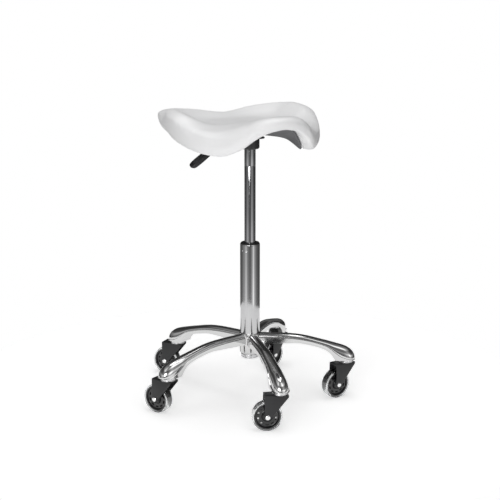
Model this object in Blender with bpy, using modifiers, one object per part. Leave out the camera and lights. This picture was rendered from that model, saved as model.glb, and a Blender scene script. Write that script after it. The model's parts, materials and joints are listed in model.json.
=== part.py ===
"""Dentist saddle stool on a five-legged cast base, with a gas lift and swivel casters.

Metres, +Z up, the floor at z = 0. The sitter faces -Y, so +X is the sitter's left.
The seat is at its highest. Pieces are drawn about the lift column's axis, and the whole
stool is then shifted so that the origin is the middle of its footprint.
"""
from bisect import bisect_right
from math import acos, atan2, cos, degrees, pi, radians, sin

import bmesh
import bpy
from mathutils import Matrix, Vector

# ---------------------------------------------------------------- place of the column axis
COLUMN_X = 0.0228
COLUMN_Y = -0.0084

# ---------------------------------------------------------------- fits
GAP = 0.0003              # between two pieces that touch
SLIDE = 0.0004            # between two pieces that slide or turn on each other

# ---------------------------------------------------------------- fineness of round shapes
LARGE_SIDES = 28
WHEEL_SIDES = 20
SMALL_SIDES = 16
PIN_SIDES = 12

# ---------------------------------------------------------------- casters
CASTERS = 5
STEM_CIRCLE = 0.2472      # stem axis to column axis
FIRST_LEG = -28.0         # direction of the first leg, degrees from +X
HEADINGS = (185.8, 160.2, 117.8, 127.4, 200.6)   # each caster's trailing direction, degrees from +X
WHEEL_R = 0.0375
WHEEL_HALF = 0.0120       # half the width of the tread
TYRE_WALL = 0.0046
TRAIL = 0.0320            # stem axis to axle
CORE_WEB_HALF = 0.0062
CORE_HUB_R = 0.0115
CORE_HUB_HALF = 0.0128
CORE_RIM_WALL = 0.0040
WINDOWS = 10
WINDOW_R = 0.0222         # middle of the windows in the wheel web
WINDOW_RADIAL = 0.0036
WINDOW_ALONG = 0.0080
AXLE_R = 0.0030
BOLT_HEAD_R = 0.0058
BOLT_HEAD_H = 0.0022
NUT_R = 0.0056
NUT_H = 0.0040
FORK_WALL = 0.0024
FORK_INNER_HALF = 0.0142
FORK_CLEAR = 0.0165       # from the top of the wheel up to the fork's top
FORK_TOP = 2 * WHEEL_R + FORK_CLEAR
FORK_FRONT = 0.0190       # from the stem axis forward to the plate's edge
FORK_BACK = 0.0395        # from the stem axis back to the plate's edge
FORK_EYE_R = 0.0085
RING_R = 0.0192
RING_H = 0.0067
STEM_R = 0.0055
STEM_REACH = 0.0240       # how far the stem runs up into the leg

# ---------------------------------------------------------------- star base
HUB_TOP = 0.1700
HUB_BOTTOM = 0.1180
COLUMN_R = 0.0250
HUB_WALL = 0.0022         # round the column at the hub's top
HUB_R = COLUMN_R + HUB_WALL
HUB_FOOT_R = HUB_R + 0.0006
# The heights of the star, column and seat are measured over casters this high to the fork's top.
# STAND_UP lifts them all when the casters are taller or shorter.
CASTER_DATUM = 0.0915
STAND_UP = FORK_TOP - CASTER_DATUM
LEG_FOOT = CASTER_DATUM + GAP + RING_H + GAP      # underside of each leg's tip
LEG_DATUM = 0.2472        # the stem circle that the arch of a leg was drawn for
LEG_REACH = STEM_CIRCLE / LEG_DATUM               # the arch stretches, and the foot keeps its shape
LEG_WALL = 0.0030
# along a leg: distance from the column axis, half width, crest height, underside height
LEG_STATIONS = (
    (0.0100, 0.0150, 0.1680, 0.1420),
    (0.0450, 0.0150, 0.1675, 0.1420),
    (0.0900 * LEG_REACH, 0.0151, 0.1662, 0.1430),
    (0.1240 * LEG_REACH, 0.0153, 0.1635, 0.1435),
    (0.1500 * LEG_REACH, 0.0156, 0.1588, 0.1390),
    (0.1760 * LEG_REACH, 0.0163, 0.1522, 0.1325),
    (STEM_CIRCLE - 0.0492, 0.0177, 0.1466, 0.1235),
    (STEM_CIRCLE - 0.0362, 0.0196, 0.1430, 0.1120),
    (STEM_CIRCLE - 0.0287, 0.0206, 0.1408, LEG_FOOT),
    (STEM_CIRCLE - 0.0132, 0.0218, 0.1366, LEG_FOOT),
    (STEM_CIRCLE + 0.0008, 0.0216, 0.1312, LEG_FOOT),
    (STEM_CIRCLE + 0.0118, 0.0196, 0.1240, LEG_FOOT),
    (STEM_CIRCLE + 0.0188, 0.0156, 0.1160, LEG_FOOT),
    (STEM_CIRCLE + 0.0228, 0.0098, 0.1076, LEG_FOOT),
)
CHANNEL_FROM = 0.0450
CHANNEL_TO = STEM_CIRCLE - 0.0422
CHANNEL_ROOF = 0.0060     # crest to the roof of the channel below it

# ---------------------------------------------------------------- column and gas spring
COLUMN_WALL = 0.0016
COLUMN_TOP = 0.4040
COLUMN_BOTTOM = 0.1030
COLUMN_FOOT_R = COLUMN_R - 0.0035    # outer radius at the bottom of the taper
COLUMN_FLOOR = 0.0030
BUSH_BOTTOM = 0.3000
BUSH_LIP = 0.0024
CYLINDER_R = 0.0140
CYLINDER_BOTTOM = 0.3230
CYLINDER_WALL = 0.0024
CYLINDER_TAPER = 0.0105   # height of the taper that sits in the seat socket
TAPER_SHRINK = 0.0005
CYLINDER_CAP = 0.0150     # solid top above the bore
RING_LINE_Z = 0.6025
RING_LINE = 0.0008
ROD_R = 0.0050
ROD_TOP = 0.3660
ROD_FOOT = 0.0985
PISTON_H = 0.0120
GLAND_H = 0.0200
WASHER_R = 0.0125
WASHER_H = 0.0015
BEARING_H = 0.0040
BUMP_H = 0.0085
BUMP_R = 0.0100
CLIP_R = 0.0095
CLIP_H = 0.0016
BUTTON_R = 0.0036
BUTTON_PROUD = 0.0030

# ---------------------------------------------------------------- seat mechanism
SOCKET_BOTTOM = 0.6445
SOCKET_R = CYLINDER_R + 0.0095
SOCKET_WALL = 0.0035
PLATE_BOTTOM = 0.6700
PLATE_H = 0.0030
PLATE_LEFT = -0.0500      # edges of the plate from the column axis
PLATE_RIGHT = 0.0360
PLATE_FRONT = -0.0240
PLATE_REAR = 0.0850
SEAT_BOLT_X = 0.0290
SEAT_BOLT_FRONT = 0.0180
SEAT_BOLT_REAR = 0.0740
SEAT_BOLT_R = 0.0030
SEAT_BOLT_HEAD_R = 0.0056
SEAT_BOLT_HEAD_H = 0.0040
SEAT_BOLT_REACH = 0.0060  # length of thread above the plate
BOSS_R = 0.0090

# ---------------------------------------------------------------- height lever
LEVER_PIVOT_X = -0.0400
LEVER_R = 0.0035
LEVER_EYE_R = 0.0062
LEVER_EYE_HALF = 0.0060
PIN_R = 0.0020
EAR_WALL = 0.0025
EAR_HALF = 0.0075
PADDLE_ROOT = (-0.1040, 0.6470)   # x and z of the paddle's inner end
PADDLE_TIP = (-0.1570, 0.6130)
PADDLE_HALF_WIDTH = 0.0140
PADDLE_HALF_HEIGHT = 0.0072
PADDLE_BITE = 0.0220      # how far the rod runs into the paddle

# ---------------------------------------------------------------- seat
SEAT_CROWN = 0.7120       # middle of the sitting surface
SEAT_UNDER = 0.6840       # middle of the pad's underside
SHELL_WALL = 0.0035
SHELL_GAP = 0.0005
BOSS_SINK = 0.0004          # the bosses stop this far inside the shell's upper face
SEAT_SEGMENTS = 36
# round the seat from the front: angle, inner height, shoulder radius and height,
# widest radius and height, lower rim radius and height, underside height
SEAT_STATIONS = (
    (0, 0.728, 0.168, 0.7465, 0.190, 0.736, 0.185, 0.711, 0.699),
    (14, 0.727, 0.164, 0.743, 0.188, 0.729, 0.183, 0.7025, 0.697),
    (23, 0.725, 0.158, 0.734, 0.184, 0.715, 0.178, 0.6865, 0.694),
    (32, 0.722, 0.150, 0.721, 0.180, 0.699, 0.172, 0.667, 0.690),
    (52, 0.716, 0.136, 0.706, 0.174, 0.685, 0.158, 0.645, 0.677),
    (72, 0.711, 0.140, 0.705, 0.181, 0.696, 0.164, 0.647, 0.671),
    (84, 0.709, 0.152, 0.714, 0.189, 0.709, 0.172, 0.653, 0.673),
    (98, 0.709, 0.168, 0.734, 0.200, 0.722, 0.184, 0.663, 0.675),
    (116, 0.709, 0.184, 0.742, 0.216, 0.727, 0.200, 0.677, 0.678),
    (130, 0.709, 0.206, 0.741, 0.238, 0.730, 0.224, 0.692, 0.682),
    (148, 0.709, 0.188, 0.733, 0.208, 0.725, 0.200, 0.697, 0.684),
    (180, 0.709, 0.148, 0.719, 0.170, 0.712, 0.163, 0.690, 0.684),
)

MODEL = "dentist_stool"
CUTTERS = "cutters"


# ---------------------------------------------------------------- scene helpers
def clear_scene():
    """Remove every object, mesh, curve, material and collection."""
    for item in list(bpy.data.objects):
        bpy.data.objects.remove(item, do_unlink=True)
    for block in (bpy.data.meshes, bpy.data.curves, bpy.data.materials, bpy.data.collections):
        for item in list(block):
            block.remove(item)


def new_collection(name):
    """Make a collection in the scene."""
    group = bpy.data.collections.new(name)
    bpy.context.scene.collection.children.link(group)
    return group


def make_material(name, color, roughness, metallic):
    """Make one Principled material."""
    material = bpy.data.materials.new(name)
    material.use_nodes = True
    shader = material.node_tree.nodes["Principled BSDF"]
    shader.inputs["Base Color"].default_value = (*color, 1.0)
    shader.inputs["Roughness"].default_value = roughness
    shader.inputs["Metallic"].default_value = metallic
    return material


def place(name, mesh, material, location=(0, 0, 0), turn=None, parent=None):
    """Put a mesh in the model as one named piece."""
    piece = bpy.data.objects.new(name, mesh)
    bpy.data.collections[MODEL].objects.link(piece)
    if not mesh.materials:
        mesh.materials.append(material)
    piece.location = location
    if turn is not None:
        piece.rotation_euler = turn
    piece.parent = parent
    mesh.shade_smooth()
    mesh.set_sharp_from_angle(angle=radians(35))
    return piece


def make_guide(name, location, turn_z=0.0, parent=None):
    """Make an empty that carries pieces."""
    guide = bpy.data.objects.new(name, None)
    bpy.data.collections[MODEL].objects.link(guide)
    guide.location = location
    guide.rotation_euler = (0, 0, turn_z)
    guide.parent = parent
    return guide


def work_object(mesh):
    """Wrap a mesh in an object of the cutters' collection."""
    item = bpy.data.objects.new("work", mesh)
    item.hide_render = True
    item.display_type = "WIRE"
    bpy.data.collections[CUTTERS].objects.link(item)
    return item


def settle(item):
    """Give the evaluated mesh of a work object and remove the object."""
    graph = bpy.context.evaluated_depsgraph_get()
    mesh = bpy.data.meshes.new_from_object(item.evaluated_get(graph))
    mesh.transform(item.matrix_world)
    bpy.data.objects.remove(item, do_unlink=True)
    return mesh


def combine(mesh, others, operation):
    """Join other meshes to a mesh, or cut them from it."""
    body = work_object(mesh)
    tools = [work_object(other) for other in others]
    for tool in tools:
        step = body.modifiers.new("step", "BOOLEAN")
        step.operation = operation
        step.object = tool
    bpy.context.view_layer.update()
    result = settle(body)
    for tool in tools:
        bpy.data.objects.remove(tool, do_unlink=True)
    return result


# ---------------------------------------------------------------- shape helpers
def turned(profile, segments, closed=True):
    """Turn a profile of (radius, height) points about Z, its outer side running down."""
    mesh = bpy.data.meshes.new("turned")
    count = len(profile)
    edges = [(i, i + 1) for i in range(count - 1)]
    if closed:
        edges.append((count - 1, 0))
    mesh.from_pydata([(radius, 0, height) for radius, height in profile], edges, [])
    item = work_object(mesh)
    screw = item.modifiers.new("turn", "SCREW")
    screw.steps = segments
    screw.render_steps = segments
    screw.use_merge_vertices = True
    screw.merge_threshold = 0.00001
    bpy.context.view_layer.update()
    return settle(item)


def collar(inner, outer, bottom, top, chamfer, segments):
    """Turn a ring with a chamfered outer edge at both ends."""
    profile = [(inner, top), (outer - chamfer, top), (outer, top - chamfer),
               (outer, bottom + chamfer), (outer - chamfer, bottom), (inner, bottom)]
    return turned(profile, segments)


def rod(radius, bottom, top, segments, sides_at=0.0):
    """Make a plain cylinder along Z from a primitive."""
    shape = bmesh.new()
    middle = Matrix.Translation((0, 0, (bottom + top) / 2)) @ Matrix.Rotation(sides_at, 4, "Z")
    bmesh.ops.create_cone(shape, cap_ends=True, segments=segments, radius1=radius, radius2=radius,
                          depth=top - bottom, matrix=middle)
    return bake(shape)


def block(low, high, bevel=0.0, steps=2):
    """Make a box from its two corners, with rounded edges if asked."""
    low, high = Vector(low), Vector(high)
    shape = bmesh.new()
    size = Matrix.Diagonal((*(high - low), 1.0))
    bmesh.ops.create_cube(shape, size=1.0, matrix=Matrix.Translation((low + high) / 2) @ size)
    if bevel:
        bmesh.ops.bevel(shape, geom=list(shape.edges), offset=bevel, segments=steps, profile=0.5,
                        affect="EDGES")
    return bake(shape)


def bake(shape):
    """Turn a bmesh into a mesh."""
    mesh = bpy.data.meshes.new("shape")
    shape.to_mesh(mesh)
    shape.free()
    return mesh


def moved(mesh, matrix):
    """Move a mesh and give it back."""
    mesh.transform(matrix)
    return mesh


def flat_outline(points, half_thickness):
    """Extrude a flat outline, drawn in X and Z, to both sides along Y."""
    curve = bpy.data.curves.new("outline", "CURVE")
    curve.dimensions = "2D"
    curve.fill_mode = "BOTH"
    curve.extrude = half_thickness
    spline = curve.splines.new("POLY")
    spline.points.add(len(points) - 1)
    for point, (across, up) in zip(spline.points, points):
        point.co = (across, up, 0, 1)
    spline.use_cyclic_u = True
    item = work_object(curve)
    bpy.context.view_layer.update()
    mesh = settle(item)
    bpy.data.curves.remove(curve)
    return weld(moved(mesh, Matrix.Rotation(pi / 2, 4, "X")))


def bent_rod(points, radius):
    """Make a round rod along a bent line."""
    curve = bpy.data.curves.new("bent", "CURVE")
    curve.dimensions = "3D"
    curve.bevel_depth = radius
    curve.bevel_resolution = 2
    curve.use_fill_caps = True
    spline = curve.splines.new("POLY")
    spline.points.add(len(points) - 1)
    for point, place_at in zip(spline.points, points):
        point.co = (*place_at, 1)
    item = work_object(curve)
    bpy.context.view_layer.update()
    mesh = settle(item)
    bpy.data.curves.remove(curve)
    return weld(mesh)


def weld(mesh):
    """Join a mesh's loose caps to its sides."""
    shape = bmesh.new()
    shape.from_mesh(mesh)
    bmesh.ops.remove_doubles(shape, verts=shape.verts, dist=0.00001)
    bmesh.ops.recalc_face_normals(shape, faces=shape.faces)
    shape.to_mesh(mesh)
    shape.free()
    return mesh


def arc(centre, radius, start, end, steps):
    """Give points on an arc, angles in degrees."""
    points = []
    for step in range(steps + 1):
        angle = radians(start + (end - start) * step / steps)
        points.append((centre[0] + radius * cos(angle), centre[1] + radius * sin(angle)))
    return points


def read_curve(places, values, at, flat_ends):
    """Read a smooth curve through (places, values), with each slope taken from its neighbours."""
    last = len(places) - 1
    step = max(1, min(last, bisect_right(places, at)))

    def slope(index):
        if flat_ends and index in (0, last):
            return 0.0
        low, high = max(index - 1, 0), min(index + 1, last)
        return (values[high] - values[low]) / (places[high] - places[low])

    width = places[step] - places[step - 1]
    part = (at - places[step - 1]) / width
    square, cube = part ** 2, part ** 3
    return (values[step - 1] * (2 * cube - 3 * square + 1)
            + slope(step - 1) * width * (cube - 2 * square + part)
            + values[step] * (3 * square - 2 * cube)
            + slope(step) * width * (cube - square))


# ---------------------------------------------------------------- star base
def leg_loft(stations, crest_drop, side_inset, extra_depth):
    """Loft a leg, or the channel inside it, through its stations along +X."""
    shape = bmesh.new()
    rings = []
    for distance, half, crest, under in stations:
        half -= side_inset
        crest -= crest_drop
        under -= extra_depth
        shoulder = min(0.0085, (crest - under) * 0.45)
        section = [(-half, under), (-half, crest - shoulder), (-half * 0.72, crest - shoulder * 0.32),
                   (-half * 0.34, crest - shoulder * 0.06), (half * 0.34, crest - shoulder * 0.06),
                   (half * 0.72, crest - shoulder * 0.32), (half, crest - shoulder), (half, under)]
        rings.append([shape.verts.new((distance, across, up)) for across, up in section])
    for near, far in zip(rings, rings[1:]):
        for index in range(len(near)):
            after = (index + 1) % len(near)
            shape.faces.new((near[index], near[after], far[after], far[index]))
    shape.faces.new(rings[0])
    shape.faces.new(rings[-1])
    bmesh.ops.recalc_face_normals(shape, faces=shape.faces)
    return bake(shape)


def leg_angle(index):
    """Give the direction of a leg in radians."""
    return radians(FIRST_LEG - index * 360.0 / CASTERS)


def column_radius(height, inner=False):
    """Give the column's radius at a height, tapered where it sits in the hub."""
    slope = (COLUMN_R - COLUMN_FOOT_R) / (HUB_TOP - COLUMN_BOTTOM)
    radius = min(COLUMN_R, COLUMN_FOOT_R + slope * (height - COLUMN_BOTTOM))
    return radius - COLUMN_WALL if inner else radius


def make_star_base(material):
    """Make the cast star: a hub with a tapered bore and five hollow legs."""
    solid = leg_loft(LEG_STATIONS, 0.0, 0.0, 0.0)
    middle = [s for s in LEG_STATIONS if CHANNEL_FROM <= s[0] <= CHANNEL_TO]
    channel = leg_loft(middle, CHANNEL_ROOF, LEG_WALL, 0.02)
    socket = rod(STEM_R + GAP, LEG_FOOT - 0.01, CASTER_DATUM + STEM_REACH + 0.002, PIN_SIDES)
    leg = combine(solid, [channel, moved(socket, Matrix.Translation((STEM_CIRCLE, 0, 0)))], "DIFFERENCE")
    hub = turned([(0, HUB_TOP), (HUB_R, HUB_TOP), (HUB_R + 0.0006, HUB_TOP - 0.004),
                  (HUB_FOOT_R, HUB_BOTTOM + 0.022), (HUB_FOOT_R, HUB_BOTTOM + 0.003),
                  (HUB_FOOT_R - 0.0015, HUB_BOTTOM), (0, HUB_BOTTOM)], LARGE_SIDES, closed=False)
    legs = []
    for index in range(CASTERS):
        legs.append(moved(leg.copy(), Matrix.Rotation(leg_angle(index), 4, "Z")))
    star = combine(hub, legs, "UNION")
    bore = turned([(0, HUB_TOP + 0.01), (column_radius(HUB_TOP) + GAP, HUB_TOP + 0.01),
                   (column_radius(HUB_TOP) + GAP, HUB_TOP), (column_radius(HUB_BOTTOM) + GAP, HUB_BOTTOM),
                   (column_radius(HUB_BOTTOM) + GAP, HUB_BOTTOM - 0.01), (0, HUB_BOTTOM - 0.01)],
                  LARGE_SIDES, closed=False)
    place("star_base", combine(star, [bore], "DIFFERENCE"), material)


# ---------------------------------------------------------------- casters
def fork_mesh():
    """Make a pressed fork: a flat top and two cheeks that narrow to the axle."""
    eye = (TRAIL, WHEEL_R)
    outline = [(-FORK_FRONT, FORK_TOP), (-FORK_FRONT, FORK_TOP - 0.004)]
    outline += arc(eye, FORK_EYE_R, 215, 360, 8)
    outline += [(FORK_BACK + 0.0005, WHEEL_R + 0.016), (FORK_BACK, FORK_TOP)]
    outer = flat_outline(outline, FORK_INNER_HALF + FORK_WALL)
    inside = block((-0.1, -FORK_INNER_HALF, 0), (0.1, FORK_INNER_HALF, FORK_TOP - FORK_WALL))
    stem_hole = rod(STEM_R + SLIDE, FORK_TOP - 0.01, FORK_TOP + 0.01, PIN_SIDES)
    across = Matrix.Translation((TRAIL, 0, WHEEL_R)) @ Matrix.Rotation(pi / 2, 4, "X")
    axle_hole = moved(rod(AXLE_R + GAP, -0.03, 0.03, PIN_SIDES), across)
    return combine(outer, [inside, stem_hole, axle_hole], "DIFFERENCE")


def tyre_mesh():
    """Turn the tyre: a flat tread with rounded shoulders, on the wheel core."""
    inner = WHEEL_R - TYRE_WALL
    half = WHEEL_HALF
    return turned([(inner, half - 0.001), (WHEEL_R - 0.003, half), (WHEEL_R, half - 0.004),
                   (WHEEL_R, -half + 0.004), (WHEEL_R - 0.003, -half), (inner, -half + 0.001)], LARGE_SIDES)


def core_mesh():
    """Turn the wheel core and cut its windows."""
    outer = WHEEL_R - TYRE_WALL - GAP
    rim = outer - CORE_RIM_WALL
    rim_half = WHEEL_HALF - 0.0015
    bore = AXLE_R + SLIDE
    web = CORE_WEB_HALF
    profile = [(bore, CORE_HUB_HALF), (CORE_HUB_R, CORE_HUB_HALF), (CORE_HUB_R + 0.001, web),
               (rim - 0.001, web), (rim, rim_half), (outer, rim_half), (outer, -rim_half),
               (rim, -rim_half), (rim - 0.001, -web), (CORE_HUB_R + 0.001, -web),
               (CORE_HUB_R, -CORE_HUB_HALF), (bore, -CORE_HUB_HALF)]
    windows = []
    for index in range(WINDOWS):
        cutter = block((WINDOW_R - WINDOW_RADIAL / 2, -WINDOW_ALONG / 2, -0.02),
                       (WINDOW_R + WINDOW_RADIAL / 2, WINDOW_ALONG / 2, 0.02))
        windows.append(moved(cutter, Matrix.Rotation(2 * pi * (index + 0.5) / WINDOWS, 4, "Z")))
    return combine(turned(profile, WHEEL_SIDES), windows, "DIFFERENCE")


def axle_bolt_mesh():
    """Turn the axle bolt with its round domed head on the +Z side."""
    seat = FORK_INNER_HALF + FORK_WALL + GAP
    head = seat + BOLT_HEAD_H
    end = -(seat + NUT_H + 0.001)
    return turned([(0, head), (BOLT_HEAD_R * 0.6, head - 0.0002), (BOLT_HEAD_R, head - 0.0009),
                   (BOLT_HEAD_R, seat), (AXLE_R, seat), (AXLE_R, end), (0, end)], PIN_SIDES, closed=False)


def axle_nut_mesh():
    """Make the six-sided nut on the -Z side of the axle."""
    top = -(FORK_INNER_HALF + FORK_WALL + GAP)
    nut = rod(NUT_R, top - NUT_H, top, 6)
    return combine(nut, [rod(AXLE_R + GAP, top - 0.02, top + 0.02, PIN_SIDES)], "DIFFERENCE")


def stem_mesh():
    """Turn the stem, with the groove of its grip ring, up into the leg."""
    top = FORK_TOP + STEM_REACH
    groove = top - 0.008
    return turned([(0, top), (STEM_R - 0.001, top), (STEM_R, top - 0.001), (STEM_R, groove + 0.0015),
                   (STEM_R - 0.0008, groove + 0.001), (STEM_R - 0.0008, groove - 0.001),
                   (STEM_R, groove - 0.0015), (STEM_R, FORK_TOP - FORK_WALL - 0.0006),
                   (0, FORK_TOP - FORK_WALL - 0.0006)], PIN_SIDES, closed=False)


def make_casters(finish):
    """Place the five casters, each on a guide at its stem and one at its axle."""
    ring = collar(STEM_R + GAP, RING_R, FORK_TOP + GAP, FORK_TOP + GAP + RING_H, 0.0008, SMALL_SIDES)
    shared = {
        "fork": fork_mesh(), "tyre": tyre_mesh(), "wheel_core": core_mesh(),
        "axle_bolt": axle_bolt_mesh(), "axle_nut": axle_nut_mesh(),
        "caster_stem": stem_mesh(), "caster_ring": ring,
    }
    for index, heading in enumerate(HEADINGS):
        mark = index + 1
        angle = leg_angle(index)
        spot = (STEM_CIRCLE * cos(angle), STEM_CIRCLE * sin(angle), 0)
        place(f"caster_stem_{mark}", shared["caster_stem"], finish["steel"], spot)
        place(f"caster_ring_{mark}", shared["caster_ring"], finish["steel"], spot)
        swivel = make_guide(f"swivel_guide_{mark}", spot, radians(heading))
        place(f"caster_fork_{mark}", shared["fork"], finish["fork"], parent=swivel)
        axle = make_guide(f"axle_guide_{mark}", (TRAIL, 0, WHEEL_R), parent=swivel)
        lie = (-pi / 2, 0, 0)
        place(f"axle_bolt_{mark}", shared["axle_bolt"], finish["bright"], turn=lie, parent=axle)
        place(f"axle_nut_{mark}", shared["axle_nut"], finish["bright"], turn=lie, parent=axle)
        place(f"wheel_core_{mark}", shared["wheel_core"], finish["core"], turn=lie, parent=axle)
        place(f"tyre_{mark}", shared["tyre"], finish["tyre"], turn=lie, parent=axle)


# ---------------------------------------------------------------- column and gas spring
def make_column(finish):
    """Make the column tube with its floor and collar, and the guide bush in its mouth."""
    floor = COLUMN_BOTTOM + COLUMN_FLOOR
    hole = ROD_R + 0.0012
    mouth = COLUMN_R - COLUMN_WALL
    tube = turned([(mouth, COLUMN_TOP), (COLUMN_R - 0.0012, COLUMN_TOP), (COLUMN_R, COLUMN_TOP - 0.0025),
                   (COLUMN_R, HUB_TOP), (column_radius(COLUMN_BOTTOM), COLUMN_BOTTOM),
                   (hole, COLUMN_BOTTOM), (hole, floor), (column_radius(floor, True), floor),
                   (column_radius(HUB_TOP, True), HUB_TOP)], LARGE_SIDES)
    place("column_tube", tube, finish["chrome"])
    lip = COLUMN_TOP + GAP
    bore = CYLINDER_R + SLIDE
    outer = mouth - GAP
    bush = turned([(bore, lip + BUSH_LIP), (outer - 0.002, lip + BUSH_LIP), (outer + 0.0005, lip + 0.0008),
                   (outer + 0.0005, lip), (outer, lip), (outer, BUSH_BOTTOM), (bore, BUSH_BOTTOM)],
                  LARGE_SIDES)
    place("guide_bush", bush, finish["black"])


def make_rod_stack(finish):
    """Make the piston rod, its piston, and what it stands on inside the column."""
    floor = COLUMN_BOTTOM + COLUMN_FLOOR
    hole = ROD_R + SLIDE
    washer = floor + GAP
    bearing = washer + WASHER_H + GAP
    bump = bearing + BEARING_H + GAP
    clip = COLUMN_BOTTOM - GAP - CLIP_H
    waist = ROD_R - 0.0008
    stem = turned([(0, ROD_TOP), (ROD_R, ROD_TOP), (ROD_R, clip + CLIP_H + 0.0002),
                   (waist, clip + CLIP_H + 0.0002), (waist, clip - 0.0002), (ROD_R, clip - 0.0002),
                   (ROD_R, ROD_FOOT + 0.0006), (ROD_R - 0.0006, ROD_FOOT), (0, ROD_FOOT)],
                  PIN_SIDES, closed=False)
    place("piston_rod", stem, finish["bright"])
    piston_top = ROD_TOP - 0.002
    place("piston", collar(ROD_R + GAP, cylinder_bore() - SLIDE, piston_top - PISTON_H, piston_top,
                           0.0008, SMALL_SIDES), finish["steel"])
    place("bearing_washer", collar(hole, WASHER_R, washer, washer + WASHER_H, 0.0003, SMALL_SIDES),
          finish["steel"])
    race = collar(hole, WASHER_R - 0.0005, bearing, bearing + BEARING_H, 0.0012, SMALL_SIDES)
    place("thrust_bearing", race, finish["bright"])
    place("bump_stop", collar(hole, BUMP_R, bump, bump + BUMP_H, 0.0020, SMALL_SIDES), finish["rubber"])
    place("rod_clip", collar(waist + GAP, CLIP_R, clip, clip + CLIP_H, 0.0003, SMALL_SIDES), finish["steel"])


def cylinder_bore():
    """Give the radius of the gas cylinder's bore."""
    return CYLINDER_R - CYLINDER_WALL


def cylinder_top():
    """Give the height of the gas cylinder's tapered end."""
    return SOCKET_BOTTOM + CYLINDER_TAPER


def make_cylinder(finish):
    """Make the gas cylinder with its ring line, the gland in its mouth and the release button."""
    top = cylinder_top()
    roof = top - CYLINDER_CAP
    bore = cylinder_bore()
    button = BUTTON_R + SLIDE
    line = RING_LINE / 2
    tube = turned([(button, top), (CYLINDER_R - TAPER_SHRINK, top), (CYLINDER_R, SOCKET_BOTTOM),
                   (CYLINDER_R, RING_LINE_Z + line), (CYLINDER_R - 0.0004, RING_LINE_Z + line * 0.4),
                   (CYLINDER_R - 0.0004, RING_LINE_Z - line * 0.4), (CYLINDER_R, RING_LINE_Z - line),
                   (CYLINDER_R, CYLINDER_BOTTOM + 0.001), (CYLINDER_R - 0.001, CYLINDER_BOTTOM),
                   (bore, CYLINDER_BOTTOM), (bore, roof), (button, roof)], LARGE_SIDES)
    place("gas_cylinder", tube, finish["cylinder"])
    gland = CYLINDER_BOTTOM + 0.001
    place("cylinder_gland", collar(ROD_R + SLIDE, bore - GAP, gland, gland + GLAND_H, 0.0008, SMALL_SIDES),
          finish["black"])
    pin = rod(BUTTON_R, roof - 0.012, top + BUTTON_PROUD, PIN_SIDES)
    place("release_button", pin, finish["bright"])


# ---------------------------------------------------------------- seat mechanism
def make_mechanism(finish):
    """Make the socket round the cylinder's end, the seat plate and its four bolts."""
    top = PLATE_BOTTOM - GAP
    taper = SOCKET_BOTTOM + CYLINDER_TAPER
    bore = CYLINDER_R + GAP
    wide = SOCKET_R - SOCKET_WALL
    housing = turned([(wide, top), (SOCKET_R, top), (SOCKET_R, SOCKET_BOTTOM + 0.0025),
                      (SOCKET_R - 0.0025, SOCKET_BOTTOM), (bore, SOCKET_BOTTOM),
                      (bore - TAPER_SHRINK, taper - 0.001), (wide, taper - 0.001)], LARGE_SIDES)
    slot = block((-0.05, -LEVER_R - 0.003, taper + 0.0005), (0, LEVER_R + 0.003, top + 0.01))
    place("seat_socket", combine(housing, [slot], "DIFFERENCE"), finish["black_metal"])

    plate = block((PLATE_LEFT, PLATE_FRONT, PLATE_BOTTOM),
                  (PLATE_RIGHT, PLATE_REAR, PLATE_BOTTOM + PLATE_H), 0.0008, 1)
    spots = [(x, y) for x in (-SEAT_BOLT_X, SEAT_BOLT_X) for y in (SEAT_BOLT_FRONT, SEAT_BOLT_REAR)]
    holes = []
    for x, y in spots:
        drill = rod(SEAT_BOLT_R + SLIDE, PLATE_BOTTOM - 0.01, PLATE_BOTTOM + 0.01, PIN_SIDES)
        holes.append(moved(drill, Matrix.Translation((x, y, 0))))
    place("seat_plate", combine(plate, holes, "DIFFERENCE"), finish["black_metal"])

    under = PLATE_BOTTOM - GAP
    tip = PLATE_BOTTOM + PLATE_H + SEAT_BOLT_REACH
    for mark, (x, y) in enumerate(spots, 1):
        head = rod(SEAT_BOLT_HEAD_R, under - SEAT_BOLT_HEAD_H, under, 6)
        shank = rod(SEAT_BOLT_R, under - 0.001, tip, PIN_SIDES)
        place(f"seat_bolt_{mark}", combine(head, [shank], "UNION"), finish["bright"], (x, y, 0))
    return spots


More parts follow.
